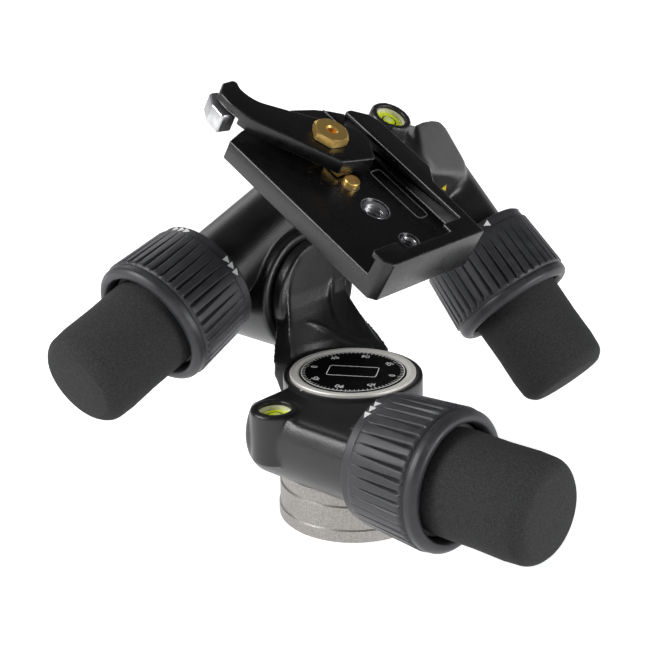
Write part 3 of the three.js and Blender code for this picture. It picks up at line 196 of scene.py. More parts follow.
# %% Floor
FLOOR_SIZE = 8
FLOOR_GREY = (0.9, 0.9, 0.9, 1)
FLOOR_GLOW = 0.68

bpy.ops.mesh.primitive_plane_add(size=FLOOR_SIZE)
floor = bpy.context.object
floor.name = "floor"
floor_paint = bpy.data.materials.new("floor_paint")
floor_paint.use_nodes = True
paint = floor_paint.node_tree
paint.nodes.clear()
pale = added(paint, "BsdfDiffuse", {"Color": FLOOR_GREY})
glow = added(paint, "Emission", {"Strength": FLOOR_GLOW})
no_glow = added(paint, "Emission", {"Strength": 0.0})
seen_rays = rays(paint, "Is Camera Ray", "Is Glossy Ray", "Is Transmission Ray")
seen_glow = added(paint, "MixShader", {0: seen_rays, 1: (no_glow, 0), 2: (glow, 0)})
both = added(paint, "AddShader", {0: (pale, 0), 1: (seen_glow, 0)})
added(paint, "OutputMaterial", {"Surface": (both, 0)})
floor.data.materials.append(floor_paint)
bpy.context.scene.view_settings.view_transform = "Standard"
print("floor laid")

# %% [markdown]
# ## Finishes
# Every finish starts from the same three effects. Mottle is a slow change of colour that
# keeps a surface from looking like plastic. Grain is the fine bump of a casting, of foam or
# of a blasted metal. Wear is the lighter line along an edge: partly rubbed paint or metal,
# and partly a painted highlight where the edge catches the light. Each effect is a node
# group, made once here, and every material sets its own values on it.

# %% Helpers for node groups
FLOAT, COLOUR, VECTOR = "NodeSocketFloat", "NodeSocketColor", "NodeSocketVector"


def effect_group(name, inputs, outputs):
    """An empty node group with named inputs and outputs, and its input and output nodes."""
    group = bpy.data.node_groups.new(name, "ShaderNodeTree")
    for way, sockets in (("INPUT", inputs), ("OUTPUT", outputs)):
        for label, kind in sockets.items():
            group.interface.new_socket(label, in_out=way, socket_type=kind)
    print("group:", name)
    return group, group.nodes.new("NodeGroupInput"), group.nodes.new("NodeGroupOutput")


def noise(group, scale, **inputs):
    """Noise on the coordinates of the object itself."""
    where = added(group, "TexCoord"), "Object"
    return added(group, "TexNoise", {"Vector": where, "Scale": scale, **inputs}), "Fac"


def ranged(group, value, low, high, least=0.0):
    """Spreads what lies between low and high over the range from least to 1."""
    inputs = {"Value": value, "From Min": low, "From Max": high, "To Min": least}
    return added(group, "MapRange", inputs), "Result"


def blended(group, share, start, other):
    """A colour between the input colours of a group, at this share."""
    inputs = {"Factor": share, "A": (start, "Colour"), "B": (start, other)}
    return added(group, "Mix", inputs, data_type="RGBA"), "Result"


# %% Mottle


def mottle_group():
    group, start, end = effect_group(
        "mottle",
        {"Colour": COLOUR, "Other Colour": COLOUR, "Patches per Metre": FLOAT,
         "Roughness": FLOAT, "Roughness Swing": FLOAT},
        {"Colour": COLOUR, "Roughness": FLOAT},
    )
    patches = noise(group, (start, "Patches per Metre"), Detail=6.0, Roughness=0.6)
    spread = ranged(group, patches, 0.3, 0.7)
    swing = maths(group, "MULTIPLY_ADD", maths(group, "SUBTRACT", spread, 0.5),
                  (start, "Roughness Swing"), (start, "Roughness"))
    fed(end, {"Colour": blended(group, spread, start, "Other Colour"), "Roughness": swing})
    return group


MOTTLE = mottle_group()

# %% Grain


def grain_group():
    group, start, end = effect_group(
        "grain", {"Grains per Metre": FLOAT, "Depth": FLOAT, "Strength": FLOAT},
        {"Normal": VECTOR})
    grains = noise(group, (start, "Grains per Metre"), Detail=2.0)
    bump = added(group, "Bump", {
        "Height": grains, "Distance": (start, "Depth"), "Strength": (start, "Strength")})
    fed(end, {"Normal": (bump, 0)})
    return group


GRAIN = grain_group()

# %% Wear and painted highlight along edges


def edge_wear_and_highlight_group():
    """Lightens edges, partly as wear and partly as a painted highlight. A rounded copy of the
    normal differs from the true one only near an edge.
    """
    group, start, end = effect_group(
        "edge_wear_and_highlight",
        {"Colour": COLOUR, "Worn and Lit Colour": COLOUR, "Width": FLOAT, "Amount": FLOAT},
        {"Colour": COLOUR})
    rounded = added(group, "Bevel", {"Radius": (start, "Width")}, samples=6)
    likeness = added(group, "VectorMath", {
        0: (rounded, 0), 1: (added(group, "NewGeometry"), "Normal")}, operation="DOT_PRODUCT")
    edge = ranged(group, (likeness, "Value"), 0.995, 0.9)
    patchy = ranged(group, noise(group, 400.0, Detail=4.0), 0.35, 0.6, 0.35)
    amount = maths(group, "MULTIPLY", maths(group, "MULTIPLY", edge, patchy), (start, "Amount"))
    fed(end, {"Colour": blended(group, amount, start, "Worn and Lit Colour")})
    return group


EDGE_WEAR_AND_HIGHLIGHT = edge_wear_and_highlight_group()

# %% A finish from the three effects
FINISH = {}


def finish(name, colour, other, roughness, patches=150, swing=0.1, grain=(2500, 0.00005, 0.4),
           wear_and_highlight=None, metallic=0.0, specular=0.5, coat=0.0, coat_roughness=0.1):
    """A Principled material of two mottled colours and a grain, with edges lightened if asked, by
    wear and a painted highlight.

    The grain is grains per metre, depth and strength. The edge wear and highlight is a colour,
    width and amount.
    """
    made = bpy.data.materials.new(name)
    made.use_nodes = True
    tree = made.node_tree

    def effect(group, *values):
        return added(tree, "Group", enumerate(values), node_tree=group)

    mottled = effect(MOTTLE, (*colour, 1), (*other, 1), patches, roughness, swing)
    coloured = mottled
    # Lighter edges here are partly wear and partly a painted highlight.
    if wear_and_highlight:
        coloured = effect(EDGE_WEAR_AND_HIGHLIGHT, (mottled, "Colour"), (*wear_and_highlight[0], 1), *wear_and_highlight[1:])
    fed(tree.nodes["Principled BSDF"], {
        "Base Color": (coloured, "Colour"), "Roughness": (mottled, "Roughness"),
        "Normal": (effect(GRAIN, *grain), "Normal"), "Metallic": metallic,
        "Specular IOR Level": specular, "Coat Weight": coat, "Coat Roughness": coat_roughness})
    FINISH[name] = made


# %% [markdown]
# The castings are painted satin black over sand-fine grain. The adapter and its lever have a
# smoother, glossier black, lighter along the edges partly where it has rubbed off and partly
# as a painted highlight. The base is blasted bare metal, and the dial's ring is turned bright.
# The grips are foam and the rings rubber.
# Each finish has two close colours, a roughness, and the values of its three effects.

# %% Paints
finish("cast_black", (0.007, 0.007, 0.0075), (0.013, 0.013, 0.0135), 0.34, 90, 0.08,
       (1700, 0.00013, 0.6))
# Its pale edge colour is partly rubbed paint and partly a painted highlight where an edge catches
# the light.
finish("plate_paint", (0.002, 0.002, 0.0023), (0.0035, 0.0035, 0.004), 0.29, 200, 0.08,
       (1800, 0.00003, 0.12), wear_and_highlight=((0.5, 0.5, 0.51), 0.0007, 0.85))
finish("dial_black", (0.001, 0.001, 0.0013), (0.002, 0.002, 0.0023), 0.4, 260, 0.15,
       (900, 0.00002, 0.05), specular=0.12)
print("paints:", ", ".join(FINISH))

# %% Bare metals
# The base's lighter edge lines are partly wear and partly a painted highlight.
finish("base_metal", (0.42, 0.4, 0.38), (0.27, 0.255, 0.242), 0.46, 1500, 0.15,
       (1700, 0.0001, 0.6), wear_and_highlight=((0.62, 0.6, 0.57), 0.0004, 0.3), metallic=0.8)
finish("dial_metal", (0.86, 0.84, 0.78), (0.78, 0.76, 0.7), 0.5, 120, 0.1,
       (3000, 0.00002, 0.2), metallic=0.4)
finish("steel", (0.55, 0.55, 0.56), (0.42, 0.42, 0.43), 0.32, 300, 0.12,
       (2500, 0.00002, 0.2), wear_and_highlight=((0.85, 0.85, 0.85), 0.0003, 0.5), metallic=0.95)
finish("dark_steel", (0.12, 0.12, 0.125), (0.08, 0.08, 0.085), 0.4, 200, 0.1,
       (2500, 0.00003, 0.3), metallic=0.9)
finish("brass", (0.92, 0.62, 0.19), (0.84, 0.53, 0.14), 0.34, 220, 0.12,
       (2600, 0.00002, 0.2), wear_and_highlight=((0.95, 0.78, 0.42), 0.0004, 0.8), metallic=0.9)
finish("bronze", (0.55, 0.33, 0.14), (0.43, 0.25, 0.1), 0.36, 200, 0.1,
       (2600, 0.00003, 0.3), metallic=1.0)
print("with metals:", len(FINISH))

# %% Rubber, foam and plastics
finish("ring_rubber", (0.026, 0.026, 0.029), (0.042, 0.042, 0.046), 0.43, 180, 0.12,
       (2400, 0.00005, 0.35), specular=0.4)
finish("grip_foam", (0.019, 0.019, 0.0195), (0.05, 0.05, 0.051), 0.85, 1500, 0.1,
       (1500, 0.0002, 0.7), specular=0.2)
finish("knob_plastic", (0.012, 0.012, 0.0125), (0.018, 0.018, 0.019), 0.5,
       grain=(2000, 0.00005, 0.2))
finish("nylon", (0.7, 0.69, 0.65), (0.62, 0.61, 0.57), 0.5, grain=(1500, 0.00005, 0.15))
print("with soft pieces:", len(FINISH))

# %% Levels and print
PRINT_GRAIN = (2500, 0.00005, 0.2)
finish("vial_fluid", (0.74, 0.86, 0.0), (0.8, 0.9, 0.01), 0.2, grain=(500, 0.00001, 0.05),
       coat=0.4, coat_roughness=0.04)
finish("vial_rim", (0.75, 0.73, 0.6), (0.6, 0.6, 0.46), 0.3, 400, grain=(1500, 0.00005, 0.1))
finish("bubble", (0.8, 0.9, 0.3), (0.7, 0.84, 0.2), 0.1, grain=(500, 0.00005, 0.05),
       coat=1.0, coat_roughness=0.04)
finish("panel_print", (0.2, 0.2, 0.2), (0.12, 0.12, 0.12), 0.4, 900, grain=PRINT_GRAIN)
finish("yellow_print", (0.8, 0.62, 0.02), (0.66, 0.5, 0.02), 0.5, 900, grain=PRINT_GRAIN)
finish("white_print", (0.8, 0.8, 0.78), (0.66, 0.66, 0.64), 0.5, 900, grain=PRINT_GRAIN)
print("finishes:", ", ".join(FINISH))

# %% [markdown]
# ## Shaping
# Everything is shaped in millimetres, because that is how a machinist would draw it, and only
# the last step turns it into metres. Turned pieces are an outline spun round the Z axis, flat
# pieces are an outline extruded and bevelled, and castings are fused from simple solids.

# %% Outlines with rounded corners
MM = 0.001
FULL_TURN = 2 * math.pi
JOIN = 0.0001
COARSE, ROUND, FINE, FINEST = 48, 64, 128, 160


def rounded_outline(corners, closed=True, steps=4):
    """Corners are (x, y) or (x, y, radius). Returns points with the corners rounded off."""
    made = []
    count = len(corners)
    for i, corner in enumerate(corners):
        point = Vector(corner[:2])
        radius = corner[2] if len(corner) > 2 else 0
        at_end = not closed and i in (0, count - 1)
        if radius <= 0 or at_end:
            made.append(tuple(point))
            continue
        before = Vector(corners[i - 1][:2]) - point
        after = Vector(corners[(i + 1) % count][:2]) - point
        half = before.angle(after) / 2
        reach = min(radius / math.tan(half), before.length * 0.49, after.length * 0.49)
        radius = reach * math.tan(half)
        before.normalize()
        after.normalize()
        first = point + before * reach
        middle = point + (before + after).normalized() * (radius / math.sin(half))
        turn = math.pi - 2 * half
        side = 1 if before.cross(after) < 0 else -1
        for k in range(steps + 1):
            spoke = Matrix.Rotation(side * turn * k / steps, 2) @ (first - middle)
            made.append(tuple(middle + spoke))
    return made


# %% Sound surfaces


def merged(bm, distance=JOIN):
    bmesh.ops.remove_doubles(bm, verts=bm.verts, dist=distance)
    return bm


def outward(bm):
    """Turns every face of a closed solid outward."""
    bmesh.ops.recalc_face_normals(bm, faces=bm.faces)
    return bm


# %% Turned pieces


def turned(corners, steps=96, closed=False, corner_steps=4):
    """An outline of (radius, height, rounding) corners spun about Z into a closed solid."""
    bm = bmesh.new()
    points = rounded_outline(corners, closed, corner_steps)
    ring = [bm.verts.new((radius, 0, height)) for radius, height in points]
    for a, b in zip(ring, ring[1:]):
        bm.edges.new((a, b))
    if closed:
        bm.edges.new((ring[-1], ring[0]))
    bmesh.ops.spin(bm, geom=bm.verts[:] + bm.edges[:], cent=(0, 0, 0), axis=(0, 0, 1),
                   angle=FULL_TURN, steps=steps, use_merge=True)
    return outward(merged(bm))


def rod(radius, low, high, steps=ROUND, rounding=0.0):
    return turned([(0, low), (radius, low, rounding), (radius, high, rounding), (0, high)], steps)


# %% Flat pieces


def extruded(bm, face, way):
    """Extrudes one face by a vector. The face itself stays as the other end."""
    grown = bmesh.ops.extrude_face_region(bm, geom=[face])["geom"]
    ends = [v for v in grown if isinstance(v, bmesh.types.BMVert)]
    bmesh.ops.translate(bm, verts=ends, vec=way)


def raised(bm, points, out, sink, height):
    """Adds a mark that covers these points of a surface, sunk into it and standing above it."""
    face = bm.faces.new([bm.verts.new(point - out * sink) for point in points])
    extruded(bm, face, out * (sink + height))


def slab(corners, low, high, edge=0.0, steps=4):
    """An outline extruded from low to high, with its top and bottom edges rounded."""
    bm = bmesh.new()
    outline = rounded_outline(corners, steps=steps)
    face = bm.faces.new([bm.verts.new((x, y, low)) for x, y in outline])
    extruded(bm, face, (0, 0, high - low))
    outward(bm)
    if edge > 0:
        flat = [e for e in bm.edges if abs(e.verts[0].co.z - e.verts[1].co.z) < JOIN]
        bmesh.ops.bevel(bm, geom=flat, offset=edge, offset_type="OFFSET", affect="EDGES",
                        segments=3, profile=0.5, material=-1, clamp_overlap=False)
    return bm


def block(low, high):
    bm = bmesh.new()
    middle = (Vector(low) + Vector(high)) / 2
    size = Matrix.Diagonal((*(Vector(high) - Vector(low)), 1))
    bmesh.ops.create_cube(bm, size=1, matrix=Matrix.Translation(middle) @ size)
    return bm


# %% Moving


def moved(bm, *matrices):
    for matrix in matrices:
        bmesh.ops.transform(bm, verts=bm.verts, matrix=matrix)
    return bm


def shift(x=0, y=0, z=0):
    return Matrix.Translation((x, y, z))


def about_z(degrees):
    return Matrix.Rotation(math.radians(degrees), 4, "Z")


# %% Joining and cutting


def as_object(bm, name="tool"):
    mesh = bpy.data.meshes.new(name)
    bm.to_mesh(mesh)
    bm.free()
    return placed(name, mesh)


def removed(made):
    """Takes an object and its mesh or curve out of the file."""
    bpy.data.batch_remove([made, made.data])


def settled(made):
    """Applies an object's modifiers, and gives its mesh back as a bmesh."""
    bm = bmesh.new()
    bm.from_object(made, bpy.context.evaluated_depsgraph_get())
    removed(made)
    return bm


def combined(bm, tools, operation):
    """The solid after a boolean operation with each tool."""
    for tool in tools:
        base, other = as_object(bm, "base"), as_object(tool)
        change = base.modifiers.new("combine", "BOOLEAN")
        change.operation = operation
        change.solver = "MANIFOLD"
        change.object = other
        bm = settled(base)
        removed(other)
    return bm


def joined(bm, *tools):
    return combined(bm, tools, "UNION")


def cut(bm, *tools):
    return combined(bm, tools, "DIFFERENCE")


def mesh_of(curve):
    """The mesh of a curve or of text, which is then removed."""
    made = placed("curve", curve)
    graph = bpy.context.evaluated_depsgraph_get()
    mesh = bpy.data.meshes.new_from_object(made.evaluated_get(graph))
    removed(made)
    return mesh


def absorb(bm, mesh):
    """Adds a mesh to a bmesh, and removes it."""
    bm.from_mesh(mesh)
    bpy.data.meshes.remove(mesh)


# %% Finished pieces
HOME = Matrix.Identity(4)


def finished(name, bm, place, look, body, replaced=(), smooth=40.0):
    """Puts a shape in its place in metres, dresses it, and lets it ride on its CAD body."""
    moved(bm, Matrix.Scale(MM, 4) @ place)
    made = as_object(bm, name)
    made.data.materials.append(FINISH[look])
    made.data.shade_smooth()
    made.data.set_sharp_from_angle(angle=math.radians(smooth))
    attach(made, body)
    if replaced:
        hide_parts(*replaced)
    print(name, "has", len(made.data.polygons), "faces")
    return made


def cad_solid(node):
    """A copy of a CAD node in millimetres, with its loose triangles merged."""
    bm = bmesh.new()
    bm.from_mesh(nodes[node].data)
    return moved(merged(bm, 1e-6), Matrix.Scale(1 / MM, 4))


# %% [markdown]
# ## Where things are
# The CAD joints say where each knob turns and which way it points. A knob is turned about its
# own Z axis, counted from the collar where its ring meets the casting. The top is tilted 30
# degrees sideways in the photograph, so its pieces are shaped level and then turned.

# %% Places of the knobs and of the tilted top
KNOBS = ("pan", "front", "side")
COLLAR_FROM_JOINT = {"pan": 0.0, "front": 31.0, "side": 31.0}
KNOB_ACROSS = {"pan": (0, 0, 1), "front": (0, 0, 1), "side": (0, -1, 0)}


def knob_place(which):
    """A frame at a knob's collar, with its Z axis along the knob."""
    joint = joints[which + "_knob_turn"]
    z = Vector(joint["axis"])
    origin = Vector(joint["pos_m"]) / MM + z * COLLAR_FROM_JOINT[which]
    z.normalize()
    across = Vector(KNOB_ACROSS[which])
    x = (across - z * across.dot(z)).normalized()
    return Matrix.Translation(origin) @ Matrix((x, z.cross(x), z)).transposed().to_4x4()


def on_each_knob(part, shape, look, body, node, smooth=40.0):
    """One piece on each of the three knobs."""
    return [finished(which + part, shape(), knob_place(which), look, which + body,
                     [which + node], smooth) for which in KNOBS]


SIDE_TILT = math.radians(30)
side_joint = Vector(joints["side_tilt"]["pos_m"]) / MM
TOP_PLACE = shift(side_joint.x, 0, side_joint.z) @ Matrix.Rotation(SIDE_TILT, 4, "Y")
TO_TOP = TOP_PLACE.inverted()
for which in KNOBS:
    print(which, "knob collar at", [round(v, 1) for v in knob_place(which).translation])

# %% [markdown]
# ## The quick-set rings
# Turning a ring lifts its worm out of mesh, for quick moves. It is moulded rubber with a plain
# band, a flared zone of ribs and a fat round lip. The plain shape is spun first. The grooves
# between the ribs are then pressed in: each starts as a point near the band, and widens and
# deepens towards the lip, as in the photograph. The spun points are drawn to the edges of the
# grooves, which evenly spread points would leave ragged.

# %% Ring
RING_BAND_RADIUS = 24.1
RIB_START, RIB_END = 5.6, 29.6
RIB_FOOT_RADIUS = 25.0
RIB_FLARE = 1.6
RING_RIBS = 40
RIB_STEPS = 10
RIB_ROWS = 16
GROOVE_DEPTH = 1.7


def around(radius, angle, height=0.0):
    return Vector((radius * math.cos(angle), radius * math.sin(angle), height))


def groove(turn, along):
    """The turn and depth of a point of the ribs, at a share of a turn and of the ribbed length.

    Each rib has RIB_STEPS points, and both its halves are alike. The table gives the share of
    half a rib and the depth for the points from the groove's middle to the rib's middle.
    """
    rib, step = divmod(round(turn * RING_RIBS * RIB_STEPS), RIB_STEPS)
    first_half = step <= RIB_STEPS // 2
    half = 0.08 + 0.36 * along
    land = 1 - half
    share, depth = (
        (0, 1.0), (0.42 * half, 0.72), (half, 0.05),
        (half + 0.16 * land, 0.0), (half + 0.55 * land, 0.0), (1.0, 0.0),
    )[min(step, RIB_STEPS - step)]
    deep = min(1.0, along / 0.3) * min(1.0, (1 - along) / 0.04)
    at = rib + (share / 2 if first_half else 1 - share / 2)
    return at / RING_RIBS, GROOVE_DEPTH * (0.35 + 0.65 * along) * depth * deep


def ring_shape():
    ribbed_length = RIB_END - RIB_START
    ribbed = [(RIB_FOOT_RADIUS + RIB_FLARE * k / RIB_ROWS,
               RIB_START + ribbed_length * k / RIB_ROWS) for k in range(RIB_ROWS + 1)]
    bm = turned(
        [(8.9, 0.3), (22.9, 0.3, 0.2), (RING_BAND_RADIUS, 1.3, 0.6), (RING_BAND_RADIUS, 4.4, 0.3),
         (24.9, 5.2, 0.3), *ribbed, (25.7, 30.2, 0.3), (26.2, 31.2, 1.2), (26.05, 33.6, 2.2),
         (24.2, 35.35, 2.2), (22.2, 35.2, 1.3), (21.4, 33.6, 0.8), (21.4, 3.5), (8.9, 3.5)],
        steps=RING_RIBS * RIB_STEPS, closed=True,
    )
    for v in bm.verts:
        along = (v.co.z - RIB_START) / ribbed_length
        radius = math.hypot(v.co.x, v.co.y)
        if 0 < along < 1 and radius > 23:
            turn, depth = groove(math.atan2(v.co.y, v.co.x) / FULL_TURN, along)
            v.co = around(radius - depth, turn * FULL_TURN, v.co.z)
    return bm


on_each_knob("_ring", ring_shape, "ring_rubber", "_ring", "_quick_set_ring", smooth=85)

# %% [markdown]
# ## The grips
# The grip is a foam sleeve pushed over the knob's core. It bulges a little, its end is rounded
# over, and it sits deep in the ring's mouth with a dark gap round it. Its outline runs down
# the bore as well, so spinning it gives one closed solid.

# %% Grip


def grip_shape():
    return turned(
        [(0, 65.2), (12.8, 65.2), (12.8, 30.3), (18.9, 30.3, 0.5), (19.5, 31.6, 0.8),
         (19.55, 36.0, 8), (19.3, 50.0, 20), (19.55, 62.0, 6), (19.0, 70.0, 5.5),
         (15.6, 73.2, 4.5), (9.0, 73.8, 12), (0, 73.9)], corner_steps=8)


for grip in on_each_knob("_grip", grip_shape, "grip_foam", "_knob", "_knob_grip", smooth=60):
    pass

# %% [markdown]
# The core is the hard plastic reel inside the foam. Its flange closes the ring's mouth.

# %% Knob core


def core_shape():
    return turned([(4.3, 4.1), (12.5, 4.1), (12.5, 25.9), (20.9, 25.9, 0.4), (20.9, 29.9, 0.4),
                   (12.4, 29.9), (12.4, 64.9), (4.3, 64.9)], steps=ROUND, closed=True)


on_each_knob("_core", core_shape, "knob_plastic", "_knob", "_knob_hub")

# %% [markdown]
# ## The castings
# The three bodies are aluminium castings with soft edges. A casting starts from its CAD
# solid, merged. Finer round solids are joined over the coarse ones, the bores are cut again,
# and the whole is fused on a fine grid and smoothed, which rounds every edge as a mould does.
# A bevel would fail where so many round forms run into each other.

# %% Values of the castings
CAST_GRID = 0.62
LARGE_CAST_GRID = 0.7
CAST_ROUNDS = 5
ALONG_X = Matrix.Rotation(math.pi / 2, 4, "Y")
ALONG_Y = Matrix.Rotation(-math.pi / 2, 4, "X")
FRONT_AXIS = shift(0, 20.7, 77.5)
SIDE_AXIS = shift(-56.3, 0, 89.7)
DRUM_RADIUS = 25.5
DRUM_ROUNDING = 1.8
DRUM_ROOM = 21.5
AXLE_HOLE = 6.3
WORM_LENGTH = 52.0
PAN_WORM_LENGTH = 51.9
PAN_TOP = 58.5
PAN_VIAL = (0, -44.0, PAN_TOP)
TOP_VIAL = (0.4, 52.0, 66.6)

# %% Shapes that the castings share


def cast(bm, grid):
    """Fuses a solid on a fine grid and softens its edges, as a mould does."""
    made = as_object(bm, "casting")
    fuse = made.modifiers.new("fuse", "REMESH")
    fuse.mode = "VOXEL"
    fuse.voxel_size = grid
    soften = made.modifiers.new("soften", "SMOOTH")
    soften.factor = 0.5
    soften.iterations = CAST_ROUNDS
    return settled(made)


def eased(bm, chosen, rounds):
    """Smooths only the chosen part of a casting, which rounds one edge more than the rest."""
    verts = [v for v in bm.verts if chosen(v.co)]
    for _ in range(rounds):
        bmesh.ops.smooth_vert(bm, verts=verts, factor=0.5,
                              use_axis_x=True, use_axis_y=True, use_axis_z=True)
    return bm


def front_rod(radius, low, high, steps=FINE, rounding=0.0):
    """A rod about the axis of the front tilt."""
    return moved(rod(radius, low, high, steps, rounding), ALONG_X, FRONT_AXIS)


def worm_barrel(which, radius, back, back_round=2.0):
    """The round barrel that holds a worm, from its collar back."""
    bm = turned([(0, -back), (radius, -back, back_round), (radius, 0), (0, 0)], FINE,
                corner_steps=8)
    return moved(bm, knob_place(which))


def worm_bores(which, bore, seat, back, wall=5.0, seat_depth=7.0):
    """The bore for a worm, and the wider seat of its bearing at the collar."""
    return [moved(rod(bore, wall - back, 1), knob_place(which)),
            moved(rod(seat, -seat_depth, 1), knob_place(which))]


def vial_boss(vial, low, radius):
    """The round boss of a bubble level, and the stepped room inside it."""
    x, y, top = vial
    boss = rod(radius, low, top, 96, 1.2)
    room = turned([(0, top - 5.3), (6.8, top - 5.3), (6.8, top - 1.7), (6.1, top - 1.1),
                   (6.1, top + 1), (0, top + 1)])
    return moved(boss, shift(x, y)), moved(room, shift(x, y))


# %% [markdown]
# Some forms have no measure in the CAD model, such as the raised ridges of the arm. They are
# placed by the photograph. The camera sends a sight line through a pixel, and the form goes
# where that line meets the solid, or a plane.

# %% Reading the photograph
CAMERA_IN_MM = CAMERA_PLACE / MM


def sight_line(x, y):
    """The direction from the camera through a pixel of the photograph."""
    half = PICTURE_SIDE / 2
    across, down = (x - half) / FOCAL_PIXELS, (y - half) / FOCAL_PIXELS
    return (right_axis * across - up_axis * down - back_axis).normalized()


def seen_on(tree, pixels):
    """Where the sight lines of these pixels meet a solid, with its normals there."""
    hits = [tree.ray_cast(CAMERA_IN_MM, sight_line(x, y)) for x, y in pixels]
    return [(hit[0], hit[1]) for hit in hits if hit[0] is not None]


def on_plane(pixels, point, normal):
    """Where the sight lines of these pixels meet a plane."""
    gap = (point - CAMERA_IN_MM).dot(normal)
    lines = [sight_line(x, y) for x, y in pixels]
    return [CAMERA_IN_MM + line * (gap / line.dot(normal)) for line in lines]


# %% Ridges
RIDGE_RADIUS = 1.0
RIDGE_SINK = 0.3


def ridge(points):
    """A half-sunk round bead along points of a surface, thinner at its two ends."""
    curve = bpy.data.curves.new("ridge", "CURVE")
    curve.dimensions = "3D"
    curve.bevel_depth = RIDGE_RADIUS
    curve.bevel_resolution = 4
    curve.use_fill_caps = True
    spline = curve.splines.new("NURBS")
    spline.points.add(len(points) - 1)
    for k, (point, normal) in enumerate(points):
        spline.points[k].co = (*(point - normal * RIDGE_RADIUS * RIDGE_SINK), 1)
        spline.points[k].radius = 0.35 if k in (0, len(points) - 1) else 1.0
    spline.use_endpoint_u = True
    return mesh_of(curve)


# %% [markdown]
# The pan housing turns on the base and carries the arm. Its flat top meets the round side of
# the worm's barrel in a soft line, so that line is smoothed more than the rest. A low wall
# closes the seat of the worm's bearing, which the flat top would cut open.

# %% Pan housing with its arm
BARREL_FLAT = 57.5
BARREL_EDGE_Y = -47
COLLAR_X = 39.6
ARM_RIDGES_SEEN = [
    [(306, 249), (294, 262), (288, 280), (287, 300), (289, 320), (288, 338), (284, 352)],
    [(333, 276), (331, 288), (331, 302), (335, 316), (342, 329), (354, 337), (368, 341)],
    [(306, 322), (318, 324), (330, 331), (344, 340), (358, 345), (372, 346)],
    [(345, 292), (354, 306), (363, 322), (374, 338), (386, 350)],
]


def near_barrel_edge(p):
    """The line along the barrel where its flat top turns into the round side."""
    return 12 < p.x < COLLAR_X and math.hypot(p.y - BARREL_EDGE_Y, p.z - BARREL_FLAT) < 7


def on_arm(p):
    return p.x < -24.5 and p.z < 57


def pan_casting():
    cup = rod(27.1, 22.0, PAN_TOP, FINE, 0.6)
    above_flat = block((-60, -80, BARREL_FLAT), (60, 0, 90))
    barrel = cut(worm_barrel("pan", 19.7, PAN_WORM_LENGTH, 4.0), above_flat)
    seat_wall = worm_barrel("pan", 14.3, 8.0, 1.5)
    boss, vial_room = vial_boss(PAN_VIAL, 38.0, 9.3)
    disc = front_rod(22.0, -41.2, -36.2, rounding=1.0)
    bm = joined(cad_solid("pan_housing"), cup, barrel, seat_wall, boss, disc)
    rooms = [rod(24.8, 29.0, 60, FINE), rod(10.3, 10, 60), vial_room,
             front_rod(AXLE_HOLE, -42, -37.8, ROUND),
             *worm_bores("pan", 10.35, 12.35, PAN_WORM_LENGTH)]
    bm = cut(bm, *rooms)
    surface = BVHTree.FromBMesh(bm)
    for seen in ARM_RIDGES_SEEN:
        absorb(bm, ridge(seen_on(surface, seen)))
    return eased(eased(cast(bm, CAST_GRID), near_barrel_edge, 60), on_arm, 25)


finished("pan_casting", pan_casting(), HOME, "cast_black", "pan_body", ["pan_housing"],
         smooth=60)

# %% [markdown]
# The front tilt housing is a drum on the arm, a worm's barrel and a hub that carries the top.
# All of it is round, so it is built of turned solids.

# %% Front tilt housing
FRONT_DRUM_END = -77.6
ARM_FACE = -41.7


def front_casting():
    drum = front_rod(DRUM_RADIUS, FRONT_DRUM_END, ARM_FACE, rounding=DRUM_ROUNDING)
    hub = moved(rod(21.0, 28.7, 80.4, FINE, DRUM_ROUNDING), ALONG_Y, SIDE_AXIS)
    barrel = worm_barrel("front", 15.3, WORM_LENGTH)
    bm = joined(cad_solid("front_tilt_housing"), drum, barrel, hub)
    arm_room = front_rod(26.0, ARM_FACE, -20.0)
    cap_room = front_rod(DRUM_RADIUS + 0.3, -100, FRONT_DRUM_END)
    wheel_room = front_rod(DRUM_ROOM, -80, -56.8)
    axle = front_rod(AXLE_HOLE, -80, -40, ROUND)
    side_axle = moved(rod(AXLE_HOLE, 68.4, 82), ALONG_Y, SIDE_AXIS)
    rooms = [arm_room, cap_room, wheel_room, axle, side_axle,
             *worm_bores("front", 7.6, 9.6, WORM_LENGTH)]
    return cast(cut(bm, *rooms), CAST_GRID)


finished("front_casting", front_casting(), HOME, "cast_black", "front_body",
         ["front_tilt_housing"], smooth=60)

# %% [markdown]
# The side tilt housing has a bridge to the adapter and one broad slope from there down to the
# worm's barrel. The slope is a wedge: its corners are sight lines met by one slanted plane,
# and its joins are smoothed until it flows into the bridge.

# %% Side tilt housing with its bridge
SLOPE_SEEN = [(415, 123), (424, 119), (432, 117.5), (440, 118.5), (447, 126), (467.5, 162),
              (468.5, 173), (427, 171), (421, 160)]
SLOPE_POINTS = ((20.8, 61.8, 54.6), (-1.6, 103, 47), (15, 103, 40.4))
SLOPE_DOWN = (0, -4, -12)
BOSS_CLEARANCE = 11


def slope_wedge():
    a, b, c = (TOP_PLACE @ Vector(p) for p in SLOPE_POINTS)
    corners = on_plane(SLOPE_SEEN, a, (b - a).cross(c - a).normalized())
    down = TOP_PLACE.to_3x3() @ Vector(SLOPE_DOWN)
    bm = bmesh.new()
    verts = [bm.verts.new(p) for p in corners + [p + down for p in corners]]
    bmesh.ops.convex_hull(bm, input=verts)
    return outward(bm)


def on_bridge_slope(p):
    """The slope between the adapter and the side drum, clear of the level's boss."""
    level = TO_TOP @ p
    clear_of_boss = math.hypot(level.x - TOP_VIAL[0], level.y - TOP_VIAL[1]) > BOSS_CLEARANCE
    return clear_of_boss and -8 < level.x < 40 and 24 < level.y < 106 and 22 < level.z < 59.5


